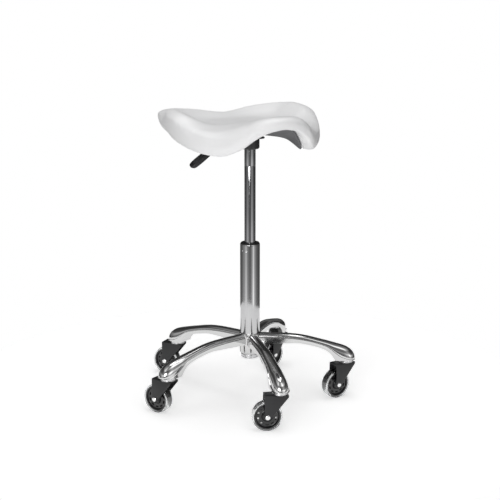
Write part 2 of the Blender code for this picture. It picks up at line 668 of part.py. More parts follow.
def make_lever(finish):
    """Make the height lever with its paddle, its pivot pin and the bracket that holds the pin."""
    level = cylinder_top() + BUTTON_PROUD + GAP + LEVER_R
    root = Vector((PADDLE_ROOT[0], 0, PADDLE_ROOT[1]))
    tip = Vector((PADDLE_TIP[0], 0, PADDLE_TIP[1]))
    along = (tip - root).normalized()
    bend = Vector((LEVER_PIVOT_X - 0.010, 0, level))
    before = root - along * 0.010
    line = [Vector((0.0035, 0, level)), Vector((LEVER_PIVOT_X, 0, level)), bend]
    line += [bend.lerp(before, 0.5) + Vector((0, 0, 0.0008)), before, root + along * PADDLE_BITE]
    pivot = Matrix.Translation((LEVER_PIVOT_X, 0, level)) @ Matrix.Rotation(pi / 2, 4, "X")
    home = Matrix.Translation((-LEVER_PIVOT_X, 0, -level))
    eye = moved(rod(LEVER_EYE_R, -LEVER_EYE_HALF, LEVER_EYE_HALF, SMALL_SIDES), pivot)
    drill = moved(rod(PIN_R + SLIDE, -0.02, 0.02, PIN_SIDES), pivot)
    arm = combine(combine(bent_rod(line, LEVER_R), [eye], "UNION"), [drill], "DIFFERENCE")
    spot = (LEVER_PIVOT_X, 0, level)
    place("height_lever", moved(arm, home), finish["steel"], spot)

    length = (tip - root).length
    shape = block((0, -PADDLE_HALF_WIDTH, -PADDLE_HALF_HEIGHT),
                  (length, PADDLE_HALF_WIDTH, PADDLE_HALF_HEIGHT), 0.0060, 3)
    bite = bent_rod([(-0.01, 0, 0), (PADDLE_BITE + 0.001, 0, 0)], LEVER_R + GAP)
    paddle = combine(shape, [bite], "DIFFERENCE")
    lean = Matrix.Rotation(atan2(-along.z, along.x), 4, "Y")
    place("lever_paddle", moved(paddle, home @ Matrix.Translation(root) @ lean), finish["black"], spot)

    ears = []
    foot = level - LEVER_EYE_R * 0.6
    for side in (-1, 1):
        inner = side * (LEVER_EYE_HALF + SLIDE)
        outer = inner + side * EAR_WALL
        ears.append(block((LEVER_PIVOT_X - EAR_HALF, min(inner, outer), foot),
                          (LEVER_PIVOT_X + EAR_HALF, max(inner, outer), PLATE_BOTTOM - GAP)))
    wing = LEVER_EYE_HALF + SLIDE + EAR_WALL
    web = block((LEVER_PIVOT_X - EAR_HALF, -wing, PLATE_BOTTOM - GAP - 0.0012),
                (LEVER_PIVOT_X + EAR_HALF, wing, PLATE_BOTTOM - GAP))
    bracket = combine(combine(web, ears, "UNION"), [moved(rod(PIN_R + GAP, -0.02, 0.02, PIN_SIDES), pivot)],
                      "DIFFERENCE")
    place("lever_bracket", bracket, finish["black_metal"])
    reach = wing + 0.002
    place("lever_pin", moved(rod(PIN_R, -reach, reach, PIN_SIDES), pivot), finish["bright"])


# ---------------------------------------------------------------- seat
def seat_profile(angle):
    """Give the pad's section at an angle from the front: points from the crown round to the underside."""
    places = [station[0] for station in SEAT_STATIONS]
    values = []
    for column in range(1, len(SEAT_STATIONS[0])):
        values.append(read_curve(places, [s[column] for s in SEAT_STATIONS], angle, True))
    inner, far, shoulder, wide, waist, rim, foot, under = values
    return [
        (0.0, SEAT_CROWN),
        (0.30 * far, SEAT_CROWN + 0.35 * (inner - SEAT_CROWN)),
        (0.62 * far, inner),
        (0.85 * far, inner + 0.62 * (shoulder - inner)),
        (far, shoulder),
        ((far + 2 * wide) / 3 + 0.002, waist + 0.62 * (shoulder - waist)),
        (wide, waist),
        (0.55 * wide + 0.45 * rim + 0.002, 0.4 * waist + 0.6 * foot),
        (rim, foot),
        (rim - 0.018, foot - 0.0005),
        (rim - 0.034, foot + 0.006),
        (0.55 * rim, under),
        (0.28 * rim, SEAT_UNDER + 0.3 * (under - SEAT_UNDER)),
        (0.0, SEAT_UNDER),
    ]


SECTION_STEPS = 13        # spans between the points of a section
SHELL_FROM = 10           # the section point where the shell's edge lies


def seat_point(angle, station):
    """Give a point of the pad's surface at an angle from the front and a place along the section."""
    section = seat_profile(angle)
    places = list(range(len(section)))
    radius = read_curve(places, [point[0] for point in section], station, False)
    height = read_curve(places, [point[1] for point in section], station, False)
    return max(radius, 0.0), height


def shaped_sphere(rings, rule):
    """Move the points of a sphere primitive by a rule of ring number and angle from the front."""
    shape = bmesh.new()
    bmesh.ops.create_uvsphere(shape, u_segments=SEAT_SEGMENTS, v_segments=rings, radius=1.0)
    for vertex in shape.verts:
        ring = round(acos(max(-1.0, min(1.0, vertex.co.z))) / pi * rings)
        around = atan2(vertex.co.x, -vertex.co.y)
        radius, height = rule(ring, abs(degrees(around)))
        vertex.co = (radius * sin(around), -radius * cos(around), height)
    bmesh.ops.triangulate(shape, faces=shape.faces, quad_method="SHORT_EDGE")
    return bake(shape)


def make_seat(finish, bolt_spots):
    """Make the saddle pad and the shell that closes its underside."""
    def pad_rule(ring, angle):
        return seat_point(angle, ring / 2)

    place("seat_cushion", shaped_sphere(2 * SECTION_STEPS, pad_rule), finish["leather"])

    shell_rings = 2 * (SECTION_STEPS - SHELL_FROM)

    def shell_rule(ring, angle):
        if ring <= shell_rings:
            radius, height = seat_point(angle, SECTION_STEPS - ring / 2)
            return radius, height - SHELL_GAP
        radius, height = seat_point(angle, SHELL_FROM + (ring - shell_rings - 1) / 2)
        return radius, height - SHELL_GAP - SHELL_WALL

    shell = shaped_sphere(2 * shell_rings + 1, shell_rule)
    above = moved(shaped_sphere(2 * SECTION_STEPS, pad_rule),
                  Matrix.Translation((0, 0, -SHELL_GAP - BOSS_SINK)))
    bosses = []
    drills = []
    floor = PLATE_BOTTOM + PLATE_H + GAP
    for x, y in bolt_spots:
        spot = Matrix.Translation((x, y, 0))
        boss = moved(rod(BOSS_R, floor, SEAT_UNDER - SHELL_GAP, SMALL_SIDES), spot)
        bosses.append(combine(boss, [above], "DIFFERENCE"))
        drill = rod(SEAT_BOLT_R + GAP, floor - 0.01, floor + SEAT_BOLT_REACH + 0.0006, PIN_SIDES)
        drills.append(moved(drill, spot))
    shell = combine(combine(shell, bosses, "UNION"), drills, "DIFFERENCE")
    place("seat_shell", shell, finish["shell"])


def main():
    """Build the whole stool."""
    clear_scene()
    new_collection(MODEL)
    new_collection(CUTTERS)
    finish = {
        "leather": make_material("white_leather", (0.86, 0.86, 0.86), 0.45, 0.0),
        "shell": make_material("dark_shell", (0.06, 0.06, 0.065), 0.55, 0.0),
        "black": make_material("black_plastic", (0.012, 0.012, 0.013), 0.40, 0.0),
        "black_metal": make_material("black_steel", (0.014, 0.014, 0.015), 0.40, 0.6),
        "fork": make_material("fork_black", (0.030, 0.030, 0.032), 0.45, 0.5),
        "core": make_material("wheel_black", (0.008, 0.008, 0.009), 0.25, 0.0),
        "tyre": make_material("clear_tyre", (0.78, 0.79, 0.80), 0.12, 0.0),
        "chrome": make_material("chrome", (0.78, 0.78, 0.79), 0.08, 1.0),
        "cylinder": make_material("dark_chrome", (0.16, 0.16, 0.17), 0.12, 1.0),
        "aluminium": make_material("polished_aluminium", (0.76, 0.76, 0.77), 0.14, 1.0),
        "steel": make_material("zinc_steel", (0.62, 0.62, 0.63), 0.28, 1.0),
        "bright": make_material("bright_steel", (0.80, 0.80, 0.81), 0.18, 1.0),
        "rubber": make_material("black_rubber", (0.02, 0.02, 0.02), 0.80, 0.0),
    }
    make_casters(finish)
    on_floor = set(bpy.data.collections[MODEL].objects)
    make_star_base(finish["aluminium"])
    make_column(finish)
    make_rod_stack(finish)
    make_cylinder(finish)
    bolt_spots = make_mechanism(finish)
    make_lever(finish)
    make_seat(finish, bolt_spots)
    for piece in bpy.data.collections[MODEL].objects:
        if piece.parent is None:
            piece.location.x += COLUMN_X
            piece.location.y += COLUMN_Y
            if piece not in on_floor:
                piece.location.z += STAND_UP
    bpy.context.view_layer.update()


main()
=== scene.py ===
"""Looks of a saddle stool on a five-legged cast base, built round its fixed frame.

Every piece is drawn about the lift column's axis, in metres, and then moved to where the
frame's column stands. Each piece rides on one body of the frame.
"""
from __future__ import annotations

import json
import logging
from bisect import bisect_right
from dataclasses import dataclass
from enum import Enum
from math import atan2, cos, pi, radians, sin
from typing import Any, Callable, Iterable, Mapping, Sequence, Union

import bmesh
import bpy
from mathutils import Matrix, Vector
from mathutils.bvhtree import BVHTree

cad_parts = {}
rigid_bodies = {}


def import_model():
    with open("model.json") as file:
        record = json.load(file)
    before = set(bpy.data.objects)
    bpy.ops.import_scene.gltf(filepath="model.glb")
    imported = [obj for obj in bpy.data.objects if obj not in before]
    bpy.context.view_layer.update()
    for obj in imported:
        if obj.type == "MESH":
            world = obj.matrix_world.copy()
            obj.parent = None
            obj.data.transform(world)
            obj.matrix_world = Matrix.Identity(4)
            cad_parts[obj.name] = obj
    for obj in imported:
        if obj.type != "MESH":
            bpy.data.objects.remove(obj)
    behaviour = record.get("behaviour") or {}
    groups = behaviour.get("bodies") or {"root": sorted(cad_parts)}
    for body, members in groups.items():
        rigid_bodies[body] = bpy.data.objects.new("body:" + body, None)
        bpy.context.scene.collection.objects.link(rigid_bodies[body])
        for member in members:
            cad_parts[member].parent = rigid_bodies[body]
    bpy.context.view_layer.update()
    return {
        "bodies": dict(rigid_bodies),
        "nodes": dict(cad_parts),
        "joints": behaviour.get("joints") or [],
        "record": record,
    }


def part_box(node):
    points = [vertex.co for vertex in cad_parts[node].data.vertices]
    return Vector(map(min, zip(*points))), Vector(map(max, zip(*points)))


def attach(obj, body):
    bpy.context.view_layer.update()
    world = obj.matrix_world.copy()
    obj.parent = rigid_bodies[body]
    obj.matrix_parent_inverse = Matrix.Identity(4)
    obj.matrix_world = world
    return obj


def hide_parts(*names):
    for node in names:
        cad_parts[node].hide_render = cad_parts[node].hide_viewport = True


LOG = logging.getLogger("saddle_stool")

Pair = tuple[float, float]
Triple = tuple[float, float, float]
Mesh = bpy.types.Mesh
BMesh = bmesh.types.BMesh
Shape = Union[Mesh, BMesh]
Socket = bpy.types.NodeSocket

CASTERS = 5
LARGE, MEDIUM, SMALL = 128, 64, 32      # sides of a round piece
ON_AXIS = 1e-6                          # a radius this small is a point on the axis
ACROSS = Matrix.Rotation(pi / 2, 4, "X")


# ---------------------------------------------------------------- finishes
class Detail(Enum):
    """The kind of fine surface a finish has."""

    PLAIN = "plain"
    LEATHER = "leather"
    BRUSHED = "brushed"


@dataclass(frozen=True)
class Finish:
    """One finish: its colour, its gloss and how much both change over the surface."""

    name: str
    slot: str
    colour: Triple
    roughness: float
    metallic: float = 0.0
    coat: float = 0.0
    transmission: float = 0.0
    specular: float = 0.5
    tint: float = 0.04
    smudge: float = 0.06
    patch_scale: float = 18.0
    grain_scale: float = 900.0
    grain_depth: float = 0.00005
    grain_strength: float = 0.1
    detail: Detail = Detail.PLAIN


LEATHER = Finish("white_leather", "white_leather", (0.84, 0.84, 0.845), 0.46, specular=0.4, tint=0.012,
                 smudge=0.05, patch_scale=9.0, grain_scale=620.0, grain_depth=0.00035,
                 grain_strength=0.16, detail=Detail.LEATHER)
SHELL = Finish("dark_shell_plastic", "dark_shell", (0.085, 0.085, 0.09), 0.5, tint=0.1,
               grain_scale=1400.0, grain_depth=0.0002, grain_strength=0.25)
BLACK_PLASTIC = Finish("satin_black_plastic", "black_plastic", (0.009, 0.009, 0.01), 0.46, tint=0.15,
                       grain_scale=1600.0, grain_depth=0.0001, grain_strength=0.2)
BLACK_COAT = Finish("black_powder_coat", "black_steel", (0.016, 0.016, 0.017), 0.42, tint=0.12,
                    grain_scale=1100.0, grain_depth=0.0002, grain_strength=0.3)
FORK_COAT = Finish("satin_fork_coat", "fork_black", (0.012, 0.012, 0.013), 0.4, tint=0.1,
                   grain_scale=1300.0, grain_depth=0.00015, grain_strength=0.22)
WHEEL_PLASTIC = Finish("gloss_wheel_plastic", "wheel_black", (0.006, 0.006, 0.007), 0.16, coat=0.4,
                       tint=0.1, smudge=0.1, patch_scale=40.0)
CLEAR_TYRE = Finish("clear_tyre_rubber", "clear_tyre", (0.93, 0.94, 0.945), 0.04, transmission=1.0,
                    tint=0.01, smudge=0.03, patch_scale=30.0, grain_strength=0.04)
CHROME = Finish("bright_chrome", "chrome", (0.53, 0.53, 0.535), 0.08, metallic=1.0, tint=0.015,
                smudge=0.05, patch_scale=14.0)
DARK_CHROME = Finish("dark_chrome", "dark_chrome", (0.46, 0.46, 0.47), 0.09, metallic=1.0, tint=0.03,
                     smudge=0.06, patch_scale=16.0)
POLISHED = Finish("polished_casting", "polished_aluminium", (0.62, 0.62, 0.62), 0.11, metallic=1.0,
                  tint=0.03, smudge=0.08, patch_scale=22.0, grain_scale=70.0, grain_depth=0.0004,
                  grain_strength=0.06)
SATIN = Finish("satin_casting", "polished_aluminium", (0.58, 0.58, 0.58), 0.4, metallic=0.85,
               tint=0.05, smudge=0.08, patch_scale=30.0, grain_scale=520.0, grain_depth=0.0003,
               grain_strength=0.3)
ZINC = Finish("zinc_plate", "zinc_steel", (0.72, 0.72, 0.73), 0.26, metallic=1.0, tint=0.06,
              grain_scale=700.0, detail=Detail.BRUSHED)
BRIGHT = Finish("bright_plate", "bright_steel", (0.9, 0.9, 0.9), 0.16, metallic=1.0, tint=0.03,
                grain_scale=500.0)
RUBBER = Finish("black_rubber", "black_rubber", (0.02, 0.02, 0.02), 0.8, tint=0.15,
                grain_scale=900.0, grain_depth=0.0002, grain_strength=0.3)


class NodeSheet:
    """A node tree being wired up."""

    def __init__(self, tree: bpy.types.NodeTree) -> None:
        """Keep the tree."""
        self.tree = tree

    def feed(self, node: bpy.types.Node, feeds: Mapping[str | int, Any]) -> None:
        """Link or set some of a node's inputs.

        Args:
            node: The node.
            feeds: For an input's name or place, a socket to link to it or a value to set.
        """
        for place, value in feeds.items():
            if isinstance(value, Socket):
                self.tree.links.new(value, node.inputs[place])
            else:
                node.inputs[place].default_value = value

    def node(self, kind: str, feeds: Mapping[str | int, Any] | None = None,
             **values: Any) -> bpy.types.Node:
        """Add a node.

        Args:
            kind: The node's type name.
            feeds: What its inputs get, as feed takes it.
            **values: Properties to set on it.

        Returns:
            The new node.
        """
        made = self.tree.nodes.new(kind)
        for name, value in values.items():
            setattr(made, name, value)
        self.feed(made, feeds or {})
        return made

    def math(self, operation: str, first: Socket | float, second: Socket | float) -> Socket:
        """Give what a Math node makes of two sockets or numbers."""
        return self.node("ShaderNodeMath", {0: first, 1: second}, operation=operation).outputs[0]

    def noise(self, place: Socket, scale: Socket | float, detail: float) -> Socket:
        """Give a noise texture's value at the given coordinates."""
        feeds = {"Vector": place, "Scale": scale, "Detail": detail}
        return self.node("ShaderNodeTexNoise", feeds).outputs[0]


def open_sockets(tree: bpy.types.NodeTree, takes: Mapping[str, str], gives: Mapping[str, str]) -> None:
    """Open a node group's inputs and outputs.

    Args:
        tree: The group.
        takes: The name and kind of each input.
        gives: The name and kind of each output.
    """
    for way, sockets in (("INPUT", takes), ("OUTPUT", gives)):
        for name, kind in sockets.items():
            tree.interface.new_socket(name, in_out=way, socket_type=f"NodeSocket{kind}")


class FinishBook:
    """Makes each finish's material once, from shared node groups."""

    coat_roughness = 0.08

    def __init__(self) -> None:
        """Build the shared groups."""
        self.made: dict[str, bpy.types.Material] = {}
        self.groups = {detail: self.surface_group(detail) for detail in Detail}

    @staticmethod
    def grain(sheet: NodeSheet, detail: Detail, place: Socket, scale: Socket) -> Socket:
        """Make the height of a grain.

        Args:
            sheet: The group's sheet.
            detail: Which grain it is.
            place: The coordinates it reads.
            scale: How fine it is.

        Returns:
            The height.
        """
        if detail is Detail.LEATHER:
            wander = sheet.node("ShaderNodeTexNoise", {"Vector": place, "Scale": 260.0})
            bent = sheet.node("ShaderNodeVectorMath", operation="MULTIPLY_ADD")
            sheet.feed(bent, {0: wander.outputs["Color"], 1: (0.0016,) * 3, 2: place})
            cells = sheet.node("ShaderNodeTexVoronoi", {"Vector": bent.outputs[0], "Scale": scale,
                                                        "Smoothness": 0.5}, feature="SMOOTH_F1")
            pebble = sheet.math("MULTIPLY", cells.outputs["Distance"], -0.8)
            folds = sheet.math("MULTIPLY", sheet.noise(place, 34.0, 3.0), 1.6)
            return sheet.math("ADD", pebble, folds)
        if detail is Detail.BRUSHED:
            place = sheet.node("ShaderNodeMapping", {"Vector": place, "Scale": (1.0, 1.0, 14.0)}).outputs[0]
        return sheet.noise(place, scale, 3.0)

    def surface_group(self, detail: Detail) -> bpy.types.NodeTree:
        """Build a group that varies a colour and a roughness and gives a grain's height.

        Args:
            detail: Which grain it makes.

        Returns:
            The group.
        """
        group = bpy.data.node_groups.new(f"{detail.value}_surface", "ShaderNodeTree")
        numbers = ("Roughness", "Tint", "Smudge", "Patch Scale", "Grain Scale")
        open_sockets(group, {"Colour": "Color", **dict.fromkeys(numbers, "Float")},
                     {"Colour": "Color", "Roughness": "Float", "Height": "Float"})
        sheet = NodeSheet(group)
        given = sheet.node("NodeGroupInput").outputs
        place = sheet.node("ShaderNodeTexCoord").outputs["Object"]

        patches = sheet.noise(place, given["Patch Scale"], 4.0)
        swing = sheet.math("MULTIPLY", sheet.math("SUBTRACT", patches, 0.5), given["Tint"])
        level = sheet.math("ADD", sheet.math("MULTIPLY", swing, 2.0), 1.0)
        grey = sheet.node("ShaderNodeCombineColor", {0: level, 1: level, 2: level}).outputs[0]
        shade = sheet.node("ShaderNodeMix", data_type="RGBA", blend_type="MULTIPLY")
        sheet.feed(shade, {0: 1.0, 6: given["Colour"], 7: grey})

        finer = sheet.noise(place, sheet.math("MULTIPLY", given["Patch Scale"], 3.7), 6.0)
        drift = sheet.math("MULTIPLY", sheet.math("SUBTRACT", finer, 0.5), given["Smudge"])
        roughness = sheet.math("ADD", given["Roughness"], sheet.math("MULTIPLY", drift, 2.0))
        sheet.node("NodeGroupOutput", {"Colour": shade.outputs[2], "Roughness": roughness,
                                       "Height": self.grain(sheet, detail, place, given["Grain Scale"])})
        return group

    def material(self, finish: Finish) -> bpy.types.Material:
        """Give a finish's material, made on first use.

        Args:
            finish: The finish.

        Returns:
            Its material.
        """
        if finish.name in self.made:
            return self.made[finish.name]
        made = bpy.data.materials.new(finish.name)
        made.use_nodes = True
        sheet = NodeSheet(made.node_tree)
        surface = sheet.node("ShaderNodeGroup", {
            "Colour": (*finish.colour, 1.0), "Roughness": finish.roughness, "Tint": finish.tint,
            "Smudge": finish.smudge, "Patch Scale": finish.patch_scale, "Grain Scale": finish.grain_scale,
        }, node_tree=self.groups[finish.detail]).outputs
        bump = sheet.node("ShaderNodeBump", {
            "Strength": finish.grain_strength, "Distance": finish.grain_depth, "Height": surface["Height"]})
        sheet.feed(made.node_tree.nodes["Principled BSDF"], {
            "Base Color": surface["Colour"], "Roughness": surface["Roughness"],
            "Normal": bump.outputs["Normal"], "Metallic": finish.metallic, "Coat Weight": finish.coat,
            "Coat Roughness": self.coat_roughness, "Specular IOR Level": finish.specular,
            "Transmission Weight": finish.transmission})
        self.made[finish.name] = made
        return made


# ---------------------------------------------------------------- lines and curves
def read_curve(places: Sequence[float], values: Sequence[float], at: float,
               flat_ends: bool = False) -> float:
    """Read a smooth curve through points, with each slope taken from its neighbours.

    Args:
        places: Where the points lie, rising.
        values: Their values.
        at: Where to read.
        flat_ends: Whether the curve is level at both ends.

    Returns:
        The value there.
    """
    last = len(places) - 1
    step = max(1, min(last, bisect_right(places, at)))

    def slope(index: int) -> float:
        """Give the slope at a point.

        Args:
            index: The point's index.

        Returns:
            The slope.
        """
        if flat_ends and index in (0, last):
            return 0.0
        low, high = max(index - 1, 0), min(index + 1, last)
        return (values[high] - values[low]) / (places[high] - places[low])

    width = places[step] - places[step - 1]
    part = (at - places[step - 1]) / width
    square, cube = part ** 2, part ** 3
    return (values[step - 1] * (2 * cube - 3 * square + 1)
            + slope(step - 1) * width * (cube - 2 * square + part)
            + values[step] * (3 * square - 2 * cube)
            + slope(step) * width * (cube - square))


def distances_along(points: Sequence[Vector]) -> list[float]:
    """Give how far along a line each of its points lies.

    Args:
        points: The line's points.

    Returns:
        The distances, from 0.
    """
    places = [0.0]
    for near, far in zip(points, points[1:]):
        places.append(places[-1] + (far - near).length)
    return places


def smooth_line(points: Sequence[Vector], steps: int) -> list[Vector]:
    """Draw a smooth curve through a few points.

    Args:
        points: The points.
        steps: How many pieces the curve has.

    Returns:
        The curve's points.
    """
    places = distances_along(points)
    return [Vector([read_curve(places, [point[axis] for point in points], places[-1] * step / steps)
                    for axis in range(3)]) for step in range(steps + 1)]


def rounded(corners: Sequence[Triple], closed: bool = False, steps: int = 4) -> list[Pair]:
    """Round the corners of a line.

    Args:
        corners: Points as (first, second, radius).
        closed: Whether the line is a loop.
        steps: Pieces in each rounded corner.

    Returns:
        The rounded line's points.
    """
    line: list[Pair] = []
    count = len(corners)
    for index, (first, second, radius) in enumerate(corners):
        here = Vector((first, second))
        if radius <= 0 or (not closed and index in (0, count - 1)):
            line.append((first, second))
            continue
        before = Vector(corners[index - 1][:2])
        after = Vector(corners[(index + 1) % count][:2])
        back, ahead = before - here, after - here
        cut = min(radius, back.length * 0.45, ahead.length * 0.45)
        start, end = here + back.normalized() * cut, here + ahead.normalized() * cut
        for step in range(steps + 1):
            part = step / steps
            point = start * (1 - part) ** 2 + here * 2 * part * (1 - part) + end * part ** 2
            line.append((point.x, point.y))
    return line


def both_sides(half: Sequence[Triple]) -> list[Triple]:
    """Add to the upper half of a rounded profile its mirror image below."""
    return [*half, *((radius, -height, corner) for radius, height, corner in reversed(half))]


def hexagon(radius: float) -> list[Pair]:
    """Give a hexagon's corners."""
    return [(radius * cos(pi / 3 * i), radius * sin(pi / 3 * i)) for i in range(6)]


def signed_power(value: float, power: float) -> float:
    """Raise a number to a power and keep its sign."""
    return abs(value) ** power * (1 if value > 0 else -1)


# ---------------------------------------------------------------- shapes
def skinned(rings: Sequence[Sequence[Sequence[float]]], closed: bool = False, capped: bool = False,
            kinds: Callable[[int, int], int] | None = None) -> BMesh:
    """Join rings of points with faces.

    Args:
        rings: The rings, each a loop of as many points or one point for a tip.
        closed: Whether the last ring joins the first.
        capped: Whether a face fills the first ring and the last.
        kinds: Gives a face's material index from its ring and its place in the ring.

    Returns:
        The shape.
    """
    shape = bmesh.new()
    made = [[shape.verts.new(point) for point in ring] for ring in rings]
    pairs = list(zip(made, made[1:]))
    if closed:
        pairs.append((made[-1], made[0]))
    for row, (near, far) in enumerate(pairs):
        count = max(len(near), len(far))
        for index in range(count):
            after = (index + 1) % count
            corners = dict.fromkeys((near[index % len(near)], near[after % len(near)],
                                     far[after % len(far)], far[index % len(far)]))
            face = shape.faces.new(list(corners))
            face.material_index = kinds(row, index) if kinds else 0
    if capped:
        shape.faces.new(made[0])
        shape.faces.new(made[-1])
    bmesh.ops.recalc_face_normals(shape, faces=shape.faces)
    return shape


def turned(profile: Sequence[Pair], sides: int = SMALL, closed: bool = False) -> BMesh:
    """Turn a profile about Z.

    Args:
        profile: Points as (radius, height).
        sides: Sides of the round piece.
        closed: Whether the profile is a loop, as for a ring.

    Returns:
        The turned shape.
    """
    turns = [2 * pi * i / sides for i in range(sides)]
    return skinned([[(0, 0, height)] if radius < ON_AXIS else
                    [(radius * cos(turn), radius * sin(turn), height) for turn in turns]
                    for radius, height in profile], closed)


def ring_of(corners: Sequence[Triple], sides: int = LARGE, steps: int = 4) -> BMesh:
    """Turn a ring from the loop of its section, with the section's corners rounded."""
    return turned(rounded(corners, True, steps), sides, closed=True)


def rod(radius: float, start: float, end: float) -> BMesh:
    """Turn a plain rod from one height to another."""
    return turned([(0, start), (radius, start), (radius, end), (0, end)])


def slab(outline: Sequence[Pair], low: float, high: float) -> BMesh:
    """Raise a flat outline, drawn in X and Y, from one height to another."""
    return skinned([[(x, y, level) for x, y in outline] for level in (low, high)], capped=True)


def tube_along(points: Sequence[Vector], radius: float) -> BMesh:
    """Make a round rod along a smooth line that lies in the XZ plane.

    Args:
        points: The line's points.
        radius: The rod's radius.

    Returns:
        The rod.
    """
    rings = []
    across = Vector((0, 1, 0))
    for index, point in enumerate(points):
        along = points[min(index + 1, len(points) - 1)] - points[max(index - 1, 0)]
        up = along.normalized().cross(across)
        rings.append([point + (across * cos(2 * pi * i / SMALL) + up * sin(2 * pi * i / SMALL)) * radius
                      for i in range(SMALL)])
    return skinned(rings, capped=True)


def bevelled(shape: BMesh, edges: Sequence[bmesh.types.BMEdge], width: float, steps: int = 3) -> BMesh:
    """Round some of a shape's edges by the same width."""
    bmesh.ops.bevel(shape, geom=edges, offset=width, segments=steps, profile=0.5, affect="EDGES")
    return shape


def rounded_edges(shape: BMesh, width: float, steps: int, angle: float) -> BMesh:
    """Round every edge of a shape that turns more than an angle.

    Args:
        shape: The shape.
        width: How wide the rounding is.
        steps: Pieces across it.
        angle: The angle in degrees.

    Returns:
        The same shape.
    """
    sharp = [edge for edge in shape.edges if edge.is_manifold and edge.calc_face_angle(0) > radians(angle)]
    bmesh.ops.bevel(shape, geom=sharp, offset=width, segments=steps, profile=0.5, affect="EDGES",
                    clamp_overlap=True)
    return shape


def box(low: Sequence[float], high: Sequence[float], edge: float = 0.0) -> BMesh:
    """Make a box.

    Args:
        low: Its lowest corner.
        high: Its highest corner.
        edge: How wide its edges are rounded.

    Returns:
        The box.
    """
    low, high = Vector(low), Vector(high)
    shape = bmesh.new()
    bmesh.ops.create_cube(shape, size=1.0, matrix=Matrix.Translation((low + high) / 2)
                          @ Matrix.Diagonal((*(high - low), 1.0)))
    return bevelled(shape, list(shape.edges), edge) if edge else shape


def moved(shape: BMesh, matrix: Matrix) -> BMesh:
    """Move a shape by a matrix."""
    bmesh.ops.transform(shape, matrix=matrix, verts=shape.verts)
    return shape


def as_mesh(shape: Shape) -> Mesh:
    """Give a shape as a mesh, and free it if it was still being built.

    Args:
        shape: The shape.

    Returns:
        The mesh.
    """
    if isinstance(shape, Mesh):
        return shape
    mesh = bpy.data.meshes.new("shape")
    shape.to_mesh(mesh)
    shape.free()
    return mesh


def joined(shapes: Iterable[Shape]) -> Mesh:
    """Put several shapes into one mesh.

    Args:
        shapes: The shapes.

    Returns:
        The mesh.
    """
    whole = bmesh.new()
    for shape in shapes:
        whole.from_mesh(as_mesh(shape))
    return as_mesh(whole)


def placed(name: str, data: bpy.types.ID | None) -> bpy.types.Object:
    """Add an object to the scene.

    Args:
        name: Its name.
        data: Its mesh, light or camera.

    Returns:
        The object.
    """
    item = bpy.data.objects.new(name, data)
    bpy.context.scene.collection.objects.link(item)
    return item


def applied(item: bpy.types.Object) -> Mesh:
    """Give an object's mesh as its modifiers leave it."""
    return bpy.data.meshes.new_from_object(item.evaluated_get(bpy.context.evaluated_depsgraph_get()))


def dropped(*items: bpy.types.Object) -> None:
    """Remove objects from the file."""
    for item in items:
        bpy.data.objects.remove(item, do_unlink=True)


class Combine(Enum):
    """What closed shapes do to a closed body."""

    JOIN = "UNION"
    CUT = "DIFFERENCE"
    KEEP_SHARED = "INTERSECT"


def combined(how: Combine, body: Shape, *tools: Shape) -> Mesh:
    """Join closed shapes to a closed body, cut them from it or keep what they share.

    Args:
        how: Which of these is done.
        body: The body.
        *tools: The shapes.

    Returns:
        A new mesh.
    """
    items = [placed("work", as_mesh(shape)) for shape in (body, *tools)]
    for tool in items[1:]:
        step = items[0].modifiers.new("step", "BOOLEAN")
        step.operation = how.value
        step.solver = "EXACT"
        step.object = tool
    result = applied(items[0])
    dropped(*items)
    return result


# ---------------------------------------------------------------- repeated pieces
class Repeater:
    """Repeats one small shape round a ring or along a line with Geometry Nodes."""

    layers = ("along", "outward")

    def __init__(self) -> None:
        """Build the tree that every row of copies shares."""
        self.tree = bpy.data.node_groups.new("repeat_on_points", "GeometryNodeTree")
        open_sockets(self.tree, {"Geometry": "Geometry", "Template": "Object", "Finish": "Material"},
                     {"Geometry": "Geometry"})
        sheet = NodeSheet(self.tree)
        given = sheet.node("NodeGroupInput").outputs
        along, outward = (sheet.node("GeometryNodeInputNamedAttribute", {"Name": name},
                                     data_type="FLOAT_VECTOR").outputs[0] for name in self.layers)
        align = "FunctionNodeAlignRotationToVector"
        first = sheet.node(align, {"Vector": along}, axis="X")
        second = sheet.node(align, {"Rotation": first.outputs[0], "Vector": outward}, axis="Z",
                            pivot_axis="X")
        template = sheet.node("GeometryNodeObjectInfo", {"Object": given["Template"]})
        copies = sheet.node("GeometryNodeInstanceOnPoints", {
            "Points": given["Geometry"], "Instance": template.outputs["Geometry"],
            "Rotation": second.outputs[0]})
        solid = sheet.node("GeometryNodeRealizeInstances", {0: copies.outputs[0]})
        dressed = sheet.node("GeometryNodeSetMaterial", {"Geometry": solid.outputs[0],
                                                         "Material": given["Finish"]})
        sheet.node("NodeGroupOutput", {"Geometry": dressed.outputs[0]})
        self.names = {item.name: item.identifier for item in self.tree.interface.items_tree
                      if item.in_out == "INPUT"}

    def repeat(self, template: Shape, spots: Sequence[tuple[Vector, Vector, Vector]],
               material: bpy.types.Material) -> Mesh:
        """Copy a shape to each spot.

        Args:
            template: The shape, its own X along the line and its Z outwards.
            spots: For each copy its place, its direction along the line and its outward direction.
            material: The copies' material.

        Returns:
            One mesh with every copy.
        """
        points = bpy.data.meshes.new("spots")
        points.from_pydata([spot[0] for spot in spots], [], [])
        for column, name in enumerate(self.layers, 1):
            layer = points.attributes.new(name, "FLOAT_VECTOR", "POINT")
            layer.data.foreach_set("vector", [value for spot in spots for value in spot[column]])
        source = placed("template", as_mesh(template))
        host = placed("host", points)
        step = host.modifiers.new("repeat", "NODES")
        step.node_group = self.tree
        step[self.names["Template"]] = source
        step[self.names["Finish"]] = material
        result = applied(host)
        dropped(source, host)
        return result


